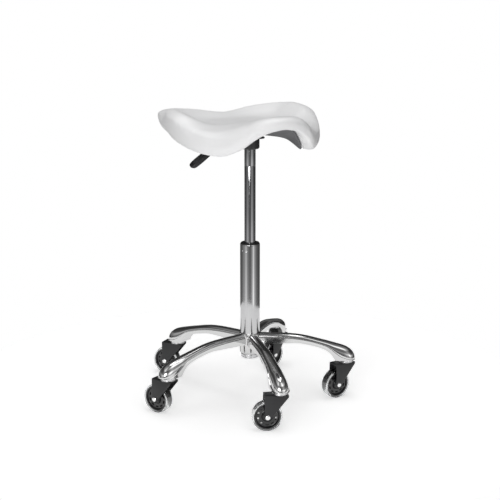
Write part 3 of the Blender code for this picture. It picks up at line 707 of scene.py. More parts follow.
# ---------------------------------------------------------------- placing pieces
@dataclass
class Bench:
    """What every sub-assembly builds with: the frame, its column's place and the finishes."""

    frame: dict[str, Any]
    column: Vector
    finishes: FinishBook
    repeater: Repeater

    def fit(self, name: str, shape: Shape, finishes: Sequence[Finish], body: str,
            stands_for: Sequence[str] = (), place: Matrix | None = None,
            sharp: float = 32.0) -> bpy.types.Object:
        """Put a shape on a body as a named piece.

        Args:
            name: The piece's name.
            shape: Its shape, drawn about the column's axis.
            finishes: Its finishes, in material order.
            body: The body it rides on.
            stands_for: The frame's nodes that it stands for.
            place: A move applied before the column's.
            sharp: Edges that turn more than this many degrees stay crisp.

        Returns:
            The piece.
        """
        mesh = as_mesh(shape)
        mesh.name = name
        mesh.transform(Matrix.Translation(self.column) @ (place or Matrix()))
        mesh.materials.clear()
        self.paint(mesh, finishes)
        mesh.shade_smooth()
        mesh.set_sharp_from_angle(angle=radians(sharp))
        piece = placed(name, mesh)
        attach(piece, body)
        if stands_for:
            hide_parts(*stands_for)
        LOG.info("%s rides on %s with %d faces", name, body, len(mesh.polygons))
        return piece

    def paint(self, mesh: Mesh, finishes: Sequence[Finish]) -> None:
        """Add finishes to a mesh's materials."""
        for finish in finishes:
            mesh.materials.append(self.finishes.material(finish))

    def dress(self, nodes: Mapping[str, Finish]) -> None:
        """Give some of the frame's own nodes a finish each.

        Args:
            nodes: Each node's finish.
        """
        for node, finish in nodes.items():
            mesh = self.frame["nodes"][node].data
            mesh.materials.clear()
            self.paint(mesh, (finish,))

# ---------------------------------------------------------------- star base
@dataclass
class StarBase:
    """The cast star: a hub with a bore and five hollow legs with domed, polished tops."""

    hub_top: float = 0.17
    hub_bottom: float = 0.118
    hub_radius: float = 0.0273
    bore_radius: float = 0.0252
    bore_foot_radius: float = 0.023
    foot: float = 0.0988
    wall: float = 0.003
    lip: float = 0.0022
    dome_steps: int = 16
    first_leg: float = -28.0
    # along a leg: distance, half width, crest, ridge where the dome meets the side, underside
    stations: tuple[tuple[float, float, float, float, float], ...] = (
        (0.01, 0.015, 0.168, 0.159, 0.142),
        (0.045, 0.015, 0.1675, 0.1585, 0.142),
        (0.09, 0.0151, 0.1662, 0.157, 0.143),
        (0.124, 0.0153, 0.1635, 0.1538, 0.1435),
        (0.15, 0.0156, 0.1588, 0.1488, 0.139),
        (0.176, 0.0163, 0.1522, 0.1418, 0.1325),
        (0.198, 0.0177, 0.1466, 0.134, 0.1235),
        (0.211, 0.0196, 0.143, 0.1262, 0.112),
        (0.22, 0.0207, 0.1405, 0.119, 0.0988),
        (0.234, 0.0218, 0.1366, 0.109, 0.0988),
        (0.248, 0.0216, 0.1312, 0.1035, 0.0988),
        (0.259, 0.0196, 0.124, 0.1008, 0.0988),
        (0.266, 0.0156, 0.116, 0.0999, 0.0988),
        (0.27, 0.0098, 0.1076, 0.0994, 0.0988),
        (0.2712, 0.005, 0.1015, 0.0991, 0.0988),
    )
    channel: Pair = (0.045, 0.208)
    channel_ramp: float = 0.008
    roof: float = 0.006

    def leg_section(self, distance: float) -> list[Vector]:
        """Give the leg's closed section at a distance from the column's axis.

        Args:
            distance: How far out the section lies.

        Returns:
            Its points, from one outer foot over the dome to the other and back inside.
        """
        places = [station[0] for station in self.stations]
        half, crest, ridge, under = (read_curve(places, [s[i] for s in self.stations], distance)
                                     for i in range(1, 5))
        under = max(under, self.foot)
        ridge = max(ridge, under + 0.0005)
        crest = max(crest, ridge + 0.0003)
        half = max(half, 0.0035)
        lip = min(self.lip, half * 0.3)
        side = [(-half, under), (-half, ridge - 0.0006), (-half + 0.0005, ridge),
                (-half + lip, ridge + 0.0002)]
        dome = []
        for step in range(self.dome_steps + 1):
            turn = pi - pi * step / self.dome_steps
            across = signed_power(cos(turn), 0.86)
            rise = (crest - ridge - 0.0006) * sin(turn) ** 0.9
            dome.append(((half - lip) * across, ridge + 0.0006 + rise))
        outer = side + dome + [(-y, z) for y, z in reversed(side)]
        start, end = self.channel
        open_part = max(0.0, min(1.0, (distance - start) / self.channel_ramp,
                                 (end - distance) / self.channel_ramp))
        depth = 0.0002 + open_part * max(0.0, crest - self.roof - under)
        inner_half = half - self.wall
        top = under + depth
        inner = [(inner_half, under), (inner_half, top - depth * 0.3), (inner_half * 0.7, top)]
        inner += [(-y, z) for y, z in reversed(inner)]
        return [Vector((distance, y, z)) for y, z in outer + inner]

    def leg_mesh(self) -> BMesh:
        """Loft one leg along +X, polished on its dome and satin elsewhere.

        Returns:
            The leg.
        """
        first, last = self.stations[0][0], self.stations[-1][0]
        distances = [first + (0.2 - first) * step / 44 for step in range(44)]
        distances += [0.2 + (last - 0.2) * sin(pi / 2 * step / 40) for step in range(41)]
        start = 3
        end = start + self.dome_steps + 2

        def kinds(_: int, index: int) -> int:
            """Give 0 on the dome and 1 elsewhere."""
            return 0 if start <= index < end else 1

        return skinned([self.leg_section(distance) for distance in distances], capped=True, kinds=kinds)

    def leg_angle(self, index: int) -> float:
        """Give a leg's direction in radians."""
        return radians(self.first_leg - index * 360.0 / CASTERS)

    def build(self, bench: Bench) -> None:
        """Make the hub and legs as one casting.

        Args:
            bench: The bench.
        """
        top, bottom, radius = self.hub_top, self.hub_bottom, self.hub_radius
        hub = as_mesh(turned(rounded([
            (0, top, 0), (radius, top, 0.0015), (radius + 0.0004, top - 0.02, 0),
            (radius, bottom + 0.012, 0.002), (radius - 0.0004, bottom, 0.0012), (0, bottom, 0)]), LARGE))
        leg = as_mesh(self.leg_mesh())
        for mesh in (hub, leg):
            bench.paint(mesh, (POLISHED, SATIN))
        legs = []
        for index in range(CASTERS):
            legs.append(leg.copy())
            legs[-1].transform(Matrix.Rotation(self.leg_angle(index), 4, "Z"))
        bore = turned([(0, top + 0.01), (self.bore_radius, top + 0.01), (self.bore_radius, top - 0.02),
                       (self.bore_foot_radius, bottom - 0.01), (0, bottom - 0.01)], LARGE)
        casting = combined(Combine.CUT, combined(Combine.JOIN, hub, *legs), bore)
        bench.fit("star_casting", casting, (POLISHED, SATIN), "base", ["star_base"], sharp=28.0)

# ---------------------------------------------------------------- casters
@dataclass
class Caster:
    """One swivel caster: silver race ring, pressed fork, glossy wheel, clear tyre and axle."""

    stem_circle: float = 0.2472
    headings: tuple[float, ...] = (185.8, 160.2, 117.8, 127.4, 200.6)
    wheel_radius: float = 0.0375
    trail: float = 0.032
    tread_half: float = 0.012
    tyre_wall: float = 0.0046
    fork_top: float = 0.0915
    fork_front: float = 0.019
    fork_back: float = 0.0395
    fork_half: float = 0.0142
    fork_wall: float = 0.0024
    eye_radius: float = 0.0085
    ring_radius: float = 0.0192
    ring_height: float = 0.0067
    axle_radius: float = 0.003
    head_radius: float = 0.0058
    windows: int = 10
    window_near: float = 0.0204
    window_far: float = 0.0242
    window_half: float = 0.0042
    nut_radius: float = 0.0056

    def fork(self) -> Mesh:
        """Make the pressed fork: a flat top, two cheeks and a front lip.

        Returns:
            The fork.
        """
        eye = (self.trail, self.wheel_radius)
        outline = [(-self.fork_front, self.fork_top), (-self.fork_front, self.fork_top - 0.0052)]
        for step in range(19):
            angle = radians(213 + 147 * step / 18)
            outline.append((eye[0] + self.eye_radius * cos(angle), eye[1] + self.eye_radius * sin(angle)))
        outline += [(self.fork_back + 0.0004, self.wheel_radius + 0.016), (self.fork_back, self.fork_top)]
        wide = self.fork_half + self.fork_wall
        rings = [[Vector((x, y, z)) for x, z in outline] for y in (-wide, wide)]
        solid = rounded_edges(skinned(rings, capped=True), 0.0013, 3, 50.0)
        inside = box((-0.1, -self.fork_half, 0), (0.1, self.fork_half, self.fork_top - self.fork_wall))
        sharp = [edge for edge in inside.edges if min(v.co.z for v in edge.verts) > 0.05
                 and abs(edge.verts[0].co.x - edge.verts[1].co.x) > 0.1]
        bevelled(inside, sharp, 0.002)
        drill = rod(self.axle_radius + 0.0002, 0.03, -0.03)
        moved(drill, Matrix.Translation((eye[0], 0, eye[1])) @ ACROSS)
        return combined(Combine.CUT, solid, inside, drill)

    def race(self) -> BMesh:
        """Turn the pressed cup between the fork's top and the ring.

        Returns:
            The race.
        """
        top = self.fork_top
        return ring_of([(0.0062, top + 0.0002, 0), (0.0062, top + 0.0026, 0.0006),
                                       (0.0158, top + 0.0026, 0.0016), (0.0172, top + 0.0002, 0)], MEDIUM)

    def ring(self) -> BMesh:
        """Turn the silver ring under the leg's tip, with its bright lower lip.

        Returns:
            The ring.
        """
        low, high = self.fork_top + 0.0004, self.fork_top + self.ring_height
        radius = self.ring_radius
        return ring_of([
            (0.0062, low + 0.0026, 0), (0.0062, high, 0), (radius - 0.0006, high, 0.0006),
            (radius - 0.0006, high - 0.0016, 0.0003), (radius - 0.0014, high - 0.0022, 0.0003),
            (radius - 0.0014, low + 0.0018, 0.0003), (radius, low + 0.0012, 0.0003), (radius, low, 0.0004),
            (radius - 0.002, low, 0.0003), (radius - 0.002, low + 0.0026, 0.0002)], MEDIUM, 3)

    def core(self) -> Mesh:
        """Turn the wheel core and cut its windows.

        Returns:
            The wheel core.
        """
        outer = self.wheel_radius - self.tyre_wall - 0.0003
        rim = outer - 0.0038
        half = self.tread_half - 0.0012
        web = 0.006
        bore = self.axle_radius + 0.0003
        side = [(bore, 0.0128, 0.0004), (0.007, 0.0128, 0.0006), (0.0078, 0.0112, 0.0006),
                (0.0104, 0.0106, 0.0008), (0.0116, 0.012, 0.0006), (0.0126, 0.0112, 0.0006),
                (0.014, web, 0.0016), (rim - 0.0016, web - 0.0006, 0.002), (rim, half, 0.001),
                (outer, half, 0.0008)]
        disc = ring_of(both_sides(side), steps=3)
        near, far, wide = self.window_near, self.window_far, self.window_half
        outline = rounded([(near, -wide, 0.0012), (far, -wide, 0.0012), (far, wide, 0.0012),
                           (near, wide, 0.0012)], True, 3)
        turns = [2 * pi * (i + 0.5) / self.windows for i in range(self.windows)]
        windows = [moved(slab(outline, -0.02, 0.02), Matrix.Rotation(turn, 4, "Z")) for turn in turns]
        return combined(Combine.CUT, disc, *windows)

    def tyre(self) -> BMesh:
        """Turn the tyre with its rounded shoulders.

        Returns:
            The tyre.
        """
        inner = self.wheel_radius - self.tyre_wall
        half = self.tread_half
        side = [(inner, half - 0.0004, 0.0008), (inner + 0.003, half, 0.0012),
                (self.wheel_radius - 0.0006, half - 0.003, 0.0028), (self.wheel_radius, 0.002, 0.002)]
        return ring_of(both_sides(side), steps=6)

    def bolt(self) -> BMesh:
        """Turn the axle bolt with its domed head on the +Z side.

        Returns:
            The axle bolt.
        """
        seat, head, shank = self.fork_half + self.fork_wall + 0.0003, self.head_radius, self.axle_radius
        return turned([(0, seat + 0.0023), (0.002, seat + 0.00225), (0.0038, seat + 0.002),
                       (0.005, seat + 0.0015), (head, seat + 0.0008), (head, seat), (shank, seat),
                       (shank, -seat - 0.0048), (shank - 0.0005, -seat - 0.0053), (0, -seat - 0.0053)])

    def nut(self) -> Mesh:
        """Make the six-sided nut with its chamfered corners.

        Returns:
            The nut.
        """
        top = -(self.fork_half + self.fork_wall + 0.0003)
        radius = self.nut_radius
        block = slab(hexagon(radius), top - 0.004, top)
        cone = turned([(0, top + 0.001), (radius, top + 0.001), (radius, top - 0.0034),
                       (0.0047, top - 0.0041), (0, top - 0.0041)])
        hole = rod(self.axle_radius + 0.0001, top + 0.002, top - 0.006)
        return combined(Combine.CUT, combined(Combine.KEEP_SHARED, block, cone), hole)

    def build(self, bench: Bench, star: StarBase) -> None:
        """Place the five casters on their bodies.

        Args:
            bench: The bench.
            star: The base, whose legs carry them.
        """
        makers = (self.ring, self.fork, self.race, self.bolt, self.nut, self.core, self.tyre)
        shapes = [as_mesh(make()) for make in makers]
        for index, heading in enumerate(self.headings):
            angle = star.leg_angle(index)
            stem = Matrix.Translation((self.stem_circle * cos(angle), self.stem_circle * sin(angle), 0))
            swivel = stem @ Matrix.Rotation(radians(heading), 4, "Z")
            hub = Matrix.Translation((self.trail, 0, self.wheel_radius))
            axle = swivel @ hub @ Matrix.Rotation(-pi / 2, 4, "X")
            mark = index + 1
            fork, wheel = f"caster_{mark}", f"wheel_{mark}"
            pieces = (("race_ring", ZINC, "base", "caster_ring", stem),
                      ("fork", FORK_COAT, fork, "caster_fork", swivel),
                      ("fork_race", BLACK_COAT, fork, "", stem),
                      ("axle", BRIGHT, fork, "axle_bolt", axle), ("nut", BRIGHT, fork, "axle_nut", axle),
                      ("wheel_centre", WHEEL_PLASTIC, wheel, "wheel_core", axle),
                      ("wheel_tyre", CLEAR_TYRE, wheel, "tyre", axle))
            for shape, (name, finish, body, node, place) in zip(shapes, pieces):
                nodes = [f"{node}_{mark}"] if node else ()
                bench.fit(f"{name}_{mark}", shape.copy(), (finish,), body, nodes, place)
            bench.dress({f"caster_stem_{mark}": ZINC})

# ---------------------------------------------------------------- column
@dataclass
class Column:
    """The lift column: chrome tube, guide bush, foot ring, gas cylinder and what is inside."""

    radius: float = 0.025
    top: float = 0.404
    bottom: float = 0.103
    taper_from: float = 0.17
    foot_radius: float = 0.0215
    wall: float = 0.0016
    dimples: tuple[float, ...] = (-165.0, -138.0, 15.0, 42.0)
    dimple_height: float = 0.3865
    dimple_radius: float = 0.0026
    dimple_depth: float = 0.0009
    tube_sides: int = 256
    teeth: int = 14
    cylinder_radius: float = 0.014
    cylinder_bottom: float = 0.323
    cylinder_top: float = 0.655
    ring_line: float = 0.6025

    def tube(self) -> Mesh:
        """Turn the tube and press its dimples in.

        Returns:
            The tube.
        """
        levels = [self.top - 0.003 - 0.0006 * step for step in range(1, 50)]
        outer = [(self.radius, level, 0) for level in levels]
        radius, inner, foot, low = self.radius, self.radius - self.wall, self.foot_radius, self.bottom
        profile = rounded([
            (inner, self.top, 0.0003), (radius - 0.0006, self.top, 0.0006),
            (radius, self.top - 0.0012, 0.0005), *outer, (radius, self.taper_from, 0), (foot, low + 0.0008, 0.0004), (foot - 0.001, low, 0.0003),
            (0.0062, low, 0), (0.0062, low + 0.003, 0), (foot - self.wall, low + 0.003, 0),
            (inner, self.taper_from, 0)], True, 2)
        mesh = as_mesh(turned(profile, self.tube_sides, closed=True))
        for vertex in mesh.vertices:
            spot = vertex.co
            if spot.xy.length < self.radius - 0.0004 or abs(spot.z - self.dimple_height) > 0.01:
                continue
            around = atan2(spot.y, spot.x)
            for dimple in self.dimples:
                turn = (around - radians(dimple) + pi) % (2 * pi) - pi
                away = Vector((turn * self.radius, spot.z - self.dimple_height)).length
                if away < self.dimple_radius:
                    sink = self.dimple_depth * (0.5 + 0.5 * cos(pi * away / self.dimple_radius))
                    vertex.co.xy *= (self.radius - sink) / self.radius
        return mesh

    def foot_ring(self, bench: Bench) -> Mesh:
        """Make the crimped ring at the column's foot: a band and its row of teeth.

        Args:
            bench: The bench.

        Returns:
            The ring's mesh.
        """
        radius, high, low = self.foot_radius + 0.0003, self.bottom + 0.01, self.bottom + 0.0062
        band = ring_of([(radius, high, 0.0002), (radius + 0.0012, high, 0.0004),
                        (radius + 0.0012, low, 0.0003), (radius, low, 0.0002)], MEDIUM, 2)
        spots = []
        for index in range(self.teeth):
            angle = 2 * pi * index / self.teeth
            outward = Vector((cos(angle), sin(angle), 0))
            place = outward * (radius + 0.0003) + Vector((0, 0, self.bottom + 0.003))
            spots.append((place, Vector((-sin(angle), cos(angle), 0)), outward))
        tooth = box((-0.0031, -0.003, -0.0005), (0.0031, 0.003, 0.0007), 0.0005)
        return joined([band, bench.repeater.repeat(tooth, spots, bench.finishes.material(ZINC))])

    def bush(self) -> BMesh:
        """Turn the guide bush in the tube's mouth, with its lip.

        Returns:
            The bush.
        """
        lip = self.top + 0.0003
        mouth = self.radius - self.wall - 0.0002
        bore = self.cylinder_radius + 0.0003
        return ring_of([
            (bore, lip - 0.03, 0), (bore, lip + 0.0022, 0.0007), (mouth - 0.0005, lip + 0.0022, 0.001),
            (mouth + 0.0008, lip + 0.0006, 0.0004), (mouth + 0.0008, lip, 0.0002), (mouth, lip, 0),
            (mouth, lip - 0.03, 0)])

    def cylinder(self) -> BMesh:
        """Turn the gas cylinder with its taper's end and its fine ring line.

        Returns:
            The cylinder.
        """
        line, radius = self.ring_line, self.cylinder_radius
        top, bottom = self.cylinder_top, self.cylinder_bottom
        return ring_of([
            (0.004, top, 0), (radius - 0.0005, top, 0.0004), (radius, top - 0.0105, 0.0002),
            (radius, line + 0.0007, 0.0002), (radius - 0.0005, line + 0.0004, 0),
            (radius - 0.0005, line - 0.0004, 0), (radius, line - 0.0007, 0.0002),
            (radius, bottom + 0.001, 0.0004), (radius - 0.001, bottom, 0.0003), (radius - 0.0024, bottom, 0),
            (radius - 0.0024, top - 0.015, 0), (0.004, top - 0.015, 0)])

    def build(self, bench: Bench) -> None:
        """Place the column's pieces on the base, the rod and the seat.

        Args:
            bench: The bench.
        """
        rod_end = turned([
            (0, 0.366), (0.005, 0.366), (0.005, 0.103), (0.0042, 0.1028), (0.0042, 0.101), (0.005, 0.1008),
            (0.005, 0.0992), (0.0044, 0.0985), (0, 0.0985)], MEDIUM)
        clip = ring_of([(0.0045, 0.1011, 0), (0.0045, 0.1027, 0), (0.0095, 0.1027, 0.0004),
                        (0.0095, 0.1011, 0.0004)], MEDIUM, 3)
        bench.fit("column", self.tube(), (CHROME,), "base", ["column_tube"])
        bench.fit("column_bush", self.bush(), (BLACK_PLASTIC,), "base", ["guide_bush"])
        bench.fit("column_foot_ring", self.foot_ring(bench), (ZINC,), "base")
        bench.fit("lift_cylinder", self.cylinder(), (DARK_CHROME,), "seat", ["gas_cylinder"])
        bench.fit("lift_rod_end", rod_end, (BRIGHT,), "lift_rod", ["piston_rod"])
        bench.fit("lift_rod_clip", clip, (ZINC,), "lift_rod", ["rod_clip"])
        bench.dress({"piston": ZINC, "bump_stop": RUBBER, "bearing_washer": ZINC, "thrust_bearing": BRIGHT,
                     "cylinder_gland": BLACK_PLASTIC, "release_button": BRIGHT})

# ---------------------------------------------------------------- mechanism and lever
@dataclass
class Mechanism:
    """The seat plate with its socket and bolts, and the lever that presses the valve."""

    plate_bottom: float = 0.67
    plate_thickness: float = 0.003
    plate_low: Pair = (-0.05, -0.024)
    plate_high: Pair = (0.036, 0.085)
    bolt_across: float = 0.029
    bolt_along: Pair = (0.018, 0.074)
    socket_bottom: float = 0.6445
    socket_radius: float = 0.0235
    pivot: Pair = (-0.04, 0.6618)
    rod_radius: float = 0.0035
    # the paddle along its spine: x, z, half width, half thickness
    paddle_spine: tuple[tuple[float, float, float, float], ...] = (
        (-0.096, 0.652, 0.008, 0.006),
        (-0.105, 0.6478, 0.0104, 0.0066),
        (-0.118, 0.6398, 0.0128, 0.0072),
        (-0.132, 0.63, 0.014, 0.0074),
        (-0.145, 0.621, 0.0143, 0.0072),
        (-0.153, 0.6153, 0.0136, 0.0066),
        (-0.1575, 0.6121, 0.0112, 0.0052),
        (-0.1596, 0.6106, 0.0066, 0.003),
    )

    def plate(self) -> Mesh:
        """Make the pressed plate with two stiffening beads.

        Returns:
            The plate.
        """
        (left, front), (right, rear) = self.plate_low, self.plate_high
        low, high = self.plate_bottom, self.plate_bottom + self.plate_thickness
        outline = rounded([(left, front, 0.005), (right, front, 0.022), (right, rear, 0.008),
                           (left, rear, 0.008)], True, 6)
        sheet = rounded_edges(slab(outline, low, high), 0.0007, 2, 50.0)
        beads = [box((middle - 0.004, 0.034, low - 0.0012), (middle + 0.004, 0.078, low + 0.001), 0.001)
                 for middle in (-0.016, 0.016)]
        return combined(Combine.JOIN, sheet, *beads)

    def socket(self) -> Mesh:
        """Turn the socket round the cylinder's end and cut the lever's slot.

        Returns:
            The socket.
        """
        top, bottom, radius = self.plate_bottom - 0.0002, self.socket_bottom, self.socket_radius
        housing = ring_of([
            (radius - 0.0035, top, 0), (radius, top, 0), (radius, bottom + 0.0028, 0.0012),
            (radius - 0.0026, bottom, 0.0012), (0.0144, bottom, 0.0004), (0.0139, bottom + 0.0095, 0),
            (radius - 0.0035, bottom + 0.0095, 0)])
        slot = box((-0.05, -0.0065, bottom + 0.011), (0, 0.0065, top + 0.01))
        return combined(Combine.CUT, housing, slot)

    def bolts(self, bench: Bench) -> Mesh:
        """Put a flanged hexagon head at each of the four bolt places.

        Args:
            bench: The bench.

        Returns:
            The bolts.
        """
        across = self.bolt_across
        low = self.plate_bottom - 0.0003
        flange = turned(rounded([(0, 0, 0), (0.0064, 0, 0.0003), (0.0062, 0.001, 0.0004), (0, 0.0014, 0)],
                                steps=2))
        head = slab(hexagon(0.005), 0.0008, 0.0042)
        shank = rod(0.003, -0.009, 0.0005)
        template = joined([flange, rounded_edges(head, 0.0004, 2, 40.0), shank])
        spots = [(Vector((x, y, low)), Vector((1, 0, 0)), Vector((0, 0, -1)))
                 for x in (-across, across) for y in self.bolt_along]
        return bench.repeater.repeat(template, spots, bench.finishes.material(BRIGHT))

    def bracket(self) -> Mesh:
        """Make the two ears that hold the lever's pin, joined by a web.

        Returns:
            The bracket.
        """
        x, level = self.pivot
        top = self.plate_bottom - 0.0003
        inner, outer, half = 0.0064, 0.0089, 0.0075
        ears = [box((x - half, min(side * inner, side * outer), level - 0.004),
                    (x + half, max(side * inner, side * outer), top), 0.0006) for side in (-1, 1)]
        return combined(Combine.JOIN, box((x - half, -outer, top - 0.0012), (x + half, outer, top)), *ears)

    def lever(self) -> Mesh:
        """Bend the lever's rod from the valve, past its eye, down into the paddle.

        Returns:
            The lever.
        """
        x, level = self.pivot
        bends = ((0.0035, 0), (-0.02, 0), (x, 0), (-0.058, 0), (-0.08, 0.0035), (-0.098, 0.011),
                 (-0.116, 0.0205))
        line = smooth_line([Vector((along, 0, level - drop)) for along, drop in bends], 60)
        eye = turned(rounded([(0, -0.006, 0), (0.0062, -0.006, 0.0006), (0.0062, 0.006, 0.0006),
                              (0, 0.006, 0)]), MEDIUM)
        moved(eye, Matrix.Translation((x, 0, level)) @ ACROSS)
        return combined(Combine.JOIN, tube_along(line, self.rod_radius), eye)

    def paddle(self) -> BMesh:
        """Loft the paddle: a blade that swells from its neck and ends round.

        Returns:
            The paddle.
        """
        spine = self.paddle_spine
        places = distances_along([Vector(station[:2]) for station in spine])
        columns = [[station[column] for station in spine] for column in range(4)]
        rings = []
        steps = 48
        for step in range(steps + 1):
            at = places[-1] * (1 - (1 - step / steps) ** 1.6)
            x, z, half, thick = (read_curve(places, column, at) for column in columns)
            ahead = min(at + 0.001, places[-1])
            over, rise = (read_curve(places, column, ahead) - read_curve(places, column, ahead - 0.001)
                          for column in columns[:2])
            up = Vector((0, 1, 0)).cross(Vector((over, 0, rise)).normalized()) * -1
            turns = [2 * pi * index / SMALL for index in range(SMALL)]
            rings.append([Vector((x, 0, z)) + Vector((0, 1, 0)) * half * signed_power(cos(turn), 0.55)
                          + up * thick * signed_power(sin(turn), 0.7) for turn in turns])
        return skinned(rings, capped=True)

    def build(self, bench: Bench) -> None:
        """Place the mechanism on the seat's body and the lever on its own.

        Args:
            bench: The bench.
        """
        bench.fit("mount_plate", self.plate(), (BLACK_COAT,), "seat", ["seat_plate"])
        bench.fit("taper_socket", self.socket(), (BLACK_COAT,), "seat", ["seat_socket"])
        nodes = [f"seat_bolt_{i}" for i in range(1, 5)]
        bench.fit("plate_bolts", self.bolts(bench), (BRIGHT,), "seat", nodes)
        bench.fit("pivot_bracket", self.bracket(), (BLACK_COAT,), "seat", ["lever_bracket"])
        bench.fit("lift_lever", self.lever(), (ZINC,), "lever", ["height_lever"])
        bench.fit("lift_paddle", self.paddle(), (BLACK_PLASTIC,), "lever", ["lever_paddle"])
        bench.dress({"lever_pin": BRIGHT})


# ---------------------------------------------------------------- seat
@dataclass
class Seat:
    """The saddle: a foam pad in white leather on a dark moulded shell."""

    crown: float = 0.712
    under: float = 0.684
    shell_gap: float = 0.0005
    shell_wall: float = 0.0035
    sides: int = 180
    voxel: float = 0.0045
    inset: float = 0.0022
    pressure: float = 4.0
    frames: int = 16
    most_swell: float = 0.004
    least_swell: float = 0.0006
    staples: int = 72
    # round the seat from the front: angle, inner height, shoulder radius and height,
    # widest radius and height, lower rim radius and height, underside height
    stations: tuple[tuple[float, ...], ...] = (
        (0, 0.728, 0.168, 0.7465, 0.19, 0.736, 0.185, 0.711, 0.699),
        (14, 0.727, 0.164, 0.743, 0.188, 0.729, 0.183, 0.7025, 0.697),
        (23, 0.725, 0.158, 0.734, 0.184, 0.715, 0.178, 0.6865, 0.694),
        (32, 0.722, 0.15, 0.721, 0.18, 0.699, 0.172, 0.667, 0.69),
        (52, 0.716, 0.136, 0.706, 0.174, 0.685, 0.158, 0.645, 0.677),
        (72, 0.711, 0.14, 0.705, 0.181, 0.696, 0.164, 0.647, 0.671),
        (84, 0.709, 0.152, 0.714, 0.189, 0.709, 0.172, 0.653, 0.673),
        (98, 0.709, 0.168, 0.734, 0.2, 0.722, 0.184, 0.663, 0.675),
        (116, 0.709, 0.184, 0.742, 0.216, 0.727, 0.2, 0.677, 0.678),
        (130, 0.709, 0.206, 0.741, 0.238, 0.73, 0.224, 0.692, 0.682),
        (148, 0.709, 0.188, 0.733, 0.208, 0.725, 0.2, 0.697, 0.684),
        (180, 0.709, 0.148, 0.719, 0.17, 0.712, 0.163, 0.69, 0.684),
    )

    def section(self, angle: float) -> list[Pair]:
        """Give the pad's section at an angle from the front.

        Args:
            angle: Degrees from the front, to either side.

        Returns:
            Points from the crown round the rim to the middle of the underside.
        """
        places = [station[0] for station in self.stations]
        inner, far, shoulder, wide, waist, rim, foot, under = (
            read_curve(places, [s[column] for s in self.stations], angle, True)
            for column in range(1, len(self.stations[0])))
        return [
            (0.0, self.crown),
            (0.3 * far, self.crown + 0.35 * (inner - self.crown)),
            (0.62 * far, inner),
            (0.85 * far, inner + 0.62 * (shoulder - inner)),
            (far, shoulder),
            ((far + 2 * wide) / 3 + 0.002, waist + 0.62 * (shoulder - waist)),
            (wide, waist),
            (0.55 * wide + 0.45 * rim + 0.002, 0.4 * waist + 0.6 * foot),
            (rim, foot),
            (rim - 0.018, foot - 0.0005),
            (rim - 0.034, foot + 0.006),
            (0.55 * rim, under),
            (0.28 * rim, self.under + 0.3 * (under - self.under)),
            (0.0, self.under),
        ]

    def point(self, angle: float, station: float, drop: float = 0.0) -> Vector:
        """Give a point of the pad's surface.

        Args:
            angle: Degrees from the front, positive towards +X.
            station: How far along the section, from 0 at the crown to 13 underneath.
            drop: How far below the surface the point lies.

        Returns:
            The point, about the column's axis.
        """
        section = self.section(abs(angle))
        places = list(range(len(section)))
        radius = max(0.0, read_curve(places, [p[0] for p in section], station))
        height = read_curve(places, [p[1] for p in section], station)
        return Vector((radius * sin(radians(angle)), -radius * cos(radians(angle)), height - drop))

    def surface(self, spans: Sequence[tuple[float, float]]) -> BMesh:
        """Loft a closed skin from the axis out and back to the axis.

        Args:
            spans: Stations in order with how far below the pad's surface each lies.

        Returns:
            The closed shape.
        """
        angles = [360.0 * i / self.sides - 180.0 for i in range(self.sides)]
        rings = [[self.point(angle, *span) for angle in angles] for span in spans]
        rings[0], rings[-1] = [self.point(0, *spans[0])], [self.point(0, *spans[-1])]
        return skinned(rings)

    @staticmethod
    def relax(item: bpy.types.Object, times: int) -> None:
        """Even out an object's surface."""
        relax = item.modifiers.new("relax", "SMOOTH")
        relax.factor, relax.iterations = 0.5, times

    def swollen(self, item: bpy.types.Object) -> Mesh:
        """Fill a cover out as cloth under light pressure.

        Args:
            item: The cover, as an object.

        Returns:
            The filled cover's mesh.
        """
        cloth = item.modifiers.new("cover", "CLOTH")
        settings = cloth.settings
        settings.quality = 5
        settings.mass = 0.25
        settings.tension_stiffness = settings.compression_stiffness = 30.0
        settings.shear_stiffness = 10.0
        settings.bending_stiffness = 1.0
        settings.use_pressure = True
        settings.uniform_pressure_force = self.pressure
        settings.effector_weights.gravity = 0.0
        cloth.point_cache.frame_start, cloth.point_cache.frame_end = 1, self.frames
        scene = bpy.context.scene
        for frame in range(1, self.frames + 1):
            scene.frame_set(frame)
        cover = applied(item)
        scene.frame_set(1)
        return cover

    def pad(self) -> Mesh:
        """Make the pad: the foam's shape, filled out as a cloth cover that swells most on top.

        Returns:
            The pad's mesh.
        """
        skin = self.surface([(13.0 * step / 104, 0.0) for step in range(105)])
        skin.normal_update()
        for vertex in skin.verts:
            vertex.co -= vertex.normal * self.inset
        item = placed("pad_work", as_mesh(skin))
        remesh = item.modifiers.new("even", "REMESH")
        remesh.mode = "VOXEL"
        remesh.voxel_size = self.voxel
        self.relax(item, 6)
        item.data = applied(item)
        item.modifiers.clear()
        rest = [(vertex.co.copy(), vertex.normal.copy()) for vertex in item.data.vertices]
        cover = self.swollen(item)
        dropped(item)
        for vertex, (start, normal) in zip(cover.vertices, rest):
            share = min(1.0, max(0.0, (normal.z + 0.5) / 0.3))
            most = self.least_swell + (self.most_swell - self.least_swell) * share
            move = vertex.co - start
            if move.length > most:
                vertex.co = start + move.normalized() * most
        item = placed("pad_work", cover)
        self.relax(item, 4)
        fine = item.modifiers.new("fine", "SUBSURF")
        fine.levels = fine.render_levels = 1
        result = applied(item)
        dropped(item)
        return result

    def shell(self) -> BMesh:
        """Make the shell with its turned-in edge.

        Returns:
            The shell.
        """
        inner = [(13.0 - 3.0 * step / 24, self.shell_gap) for step in range(25)]
        wall = self.shell_gap + self.shell_wall
        outer = [(10.0 + 3.0 * step / 24, wall) for step in range(25)]
        edge = [(9.93, self.shell_gap + 0.0006), (9.9, self.shell_gap + 0.0018), (9.93, wall - 0.0006)]
        return self.surface(inner + edge + outer)

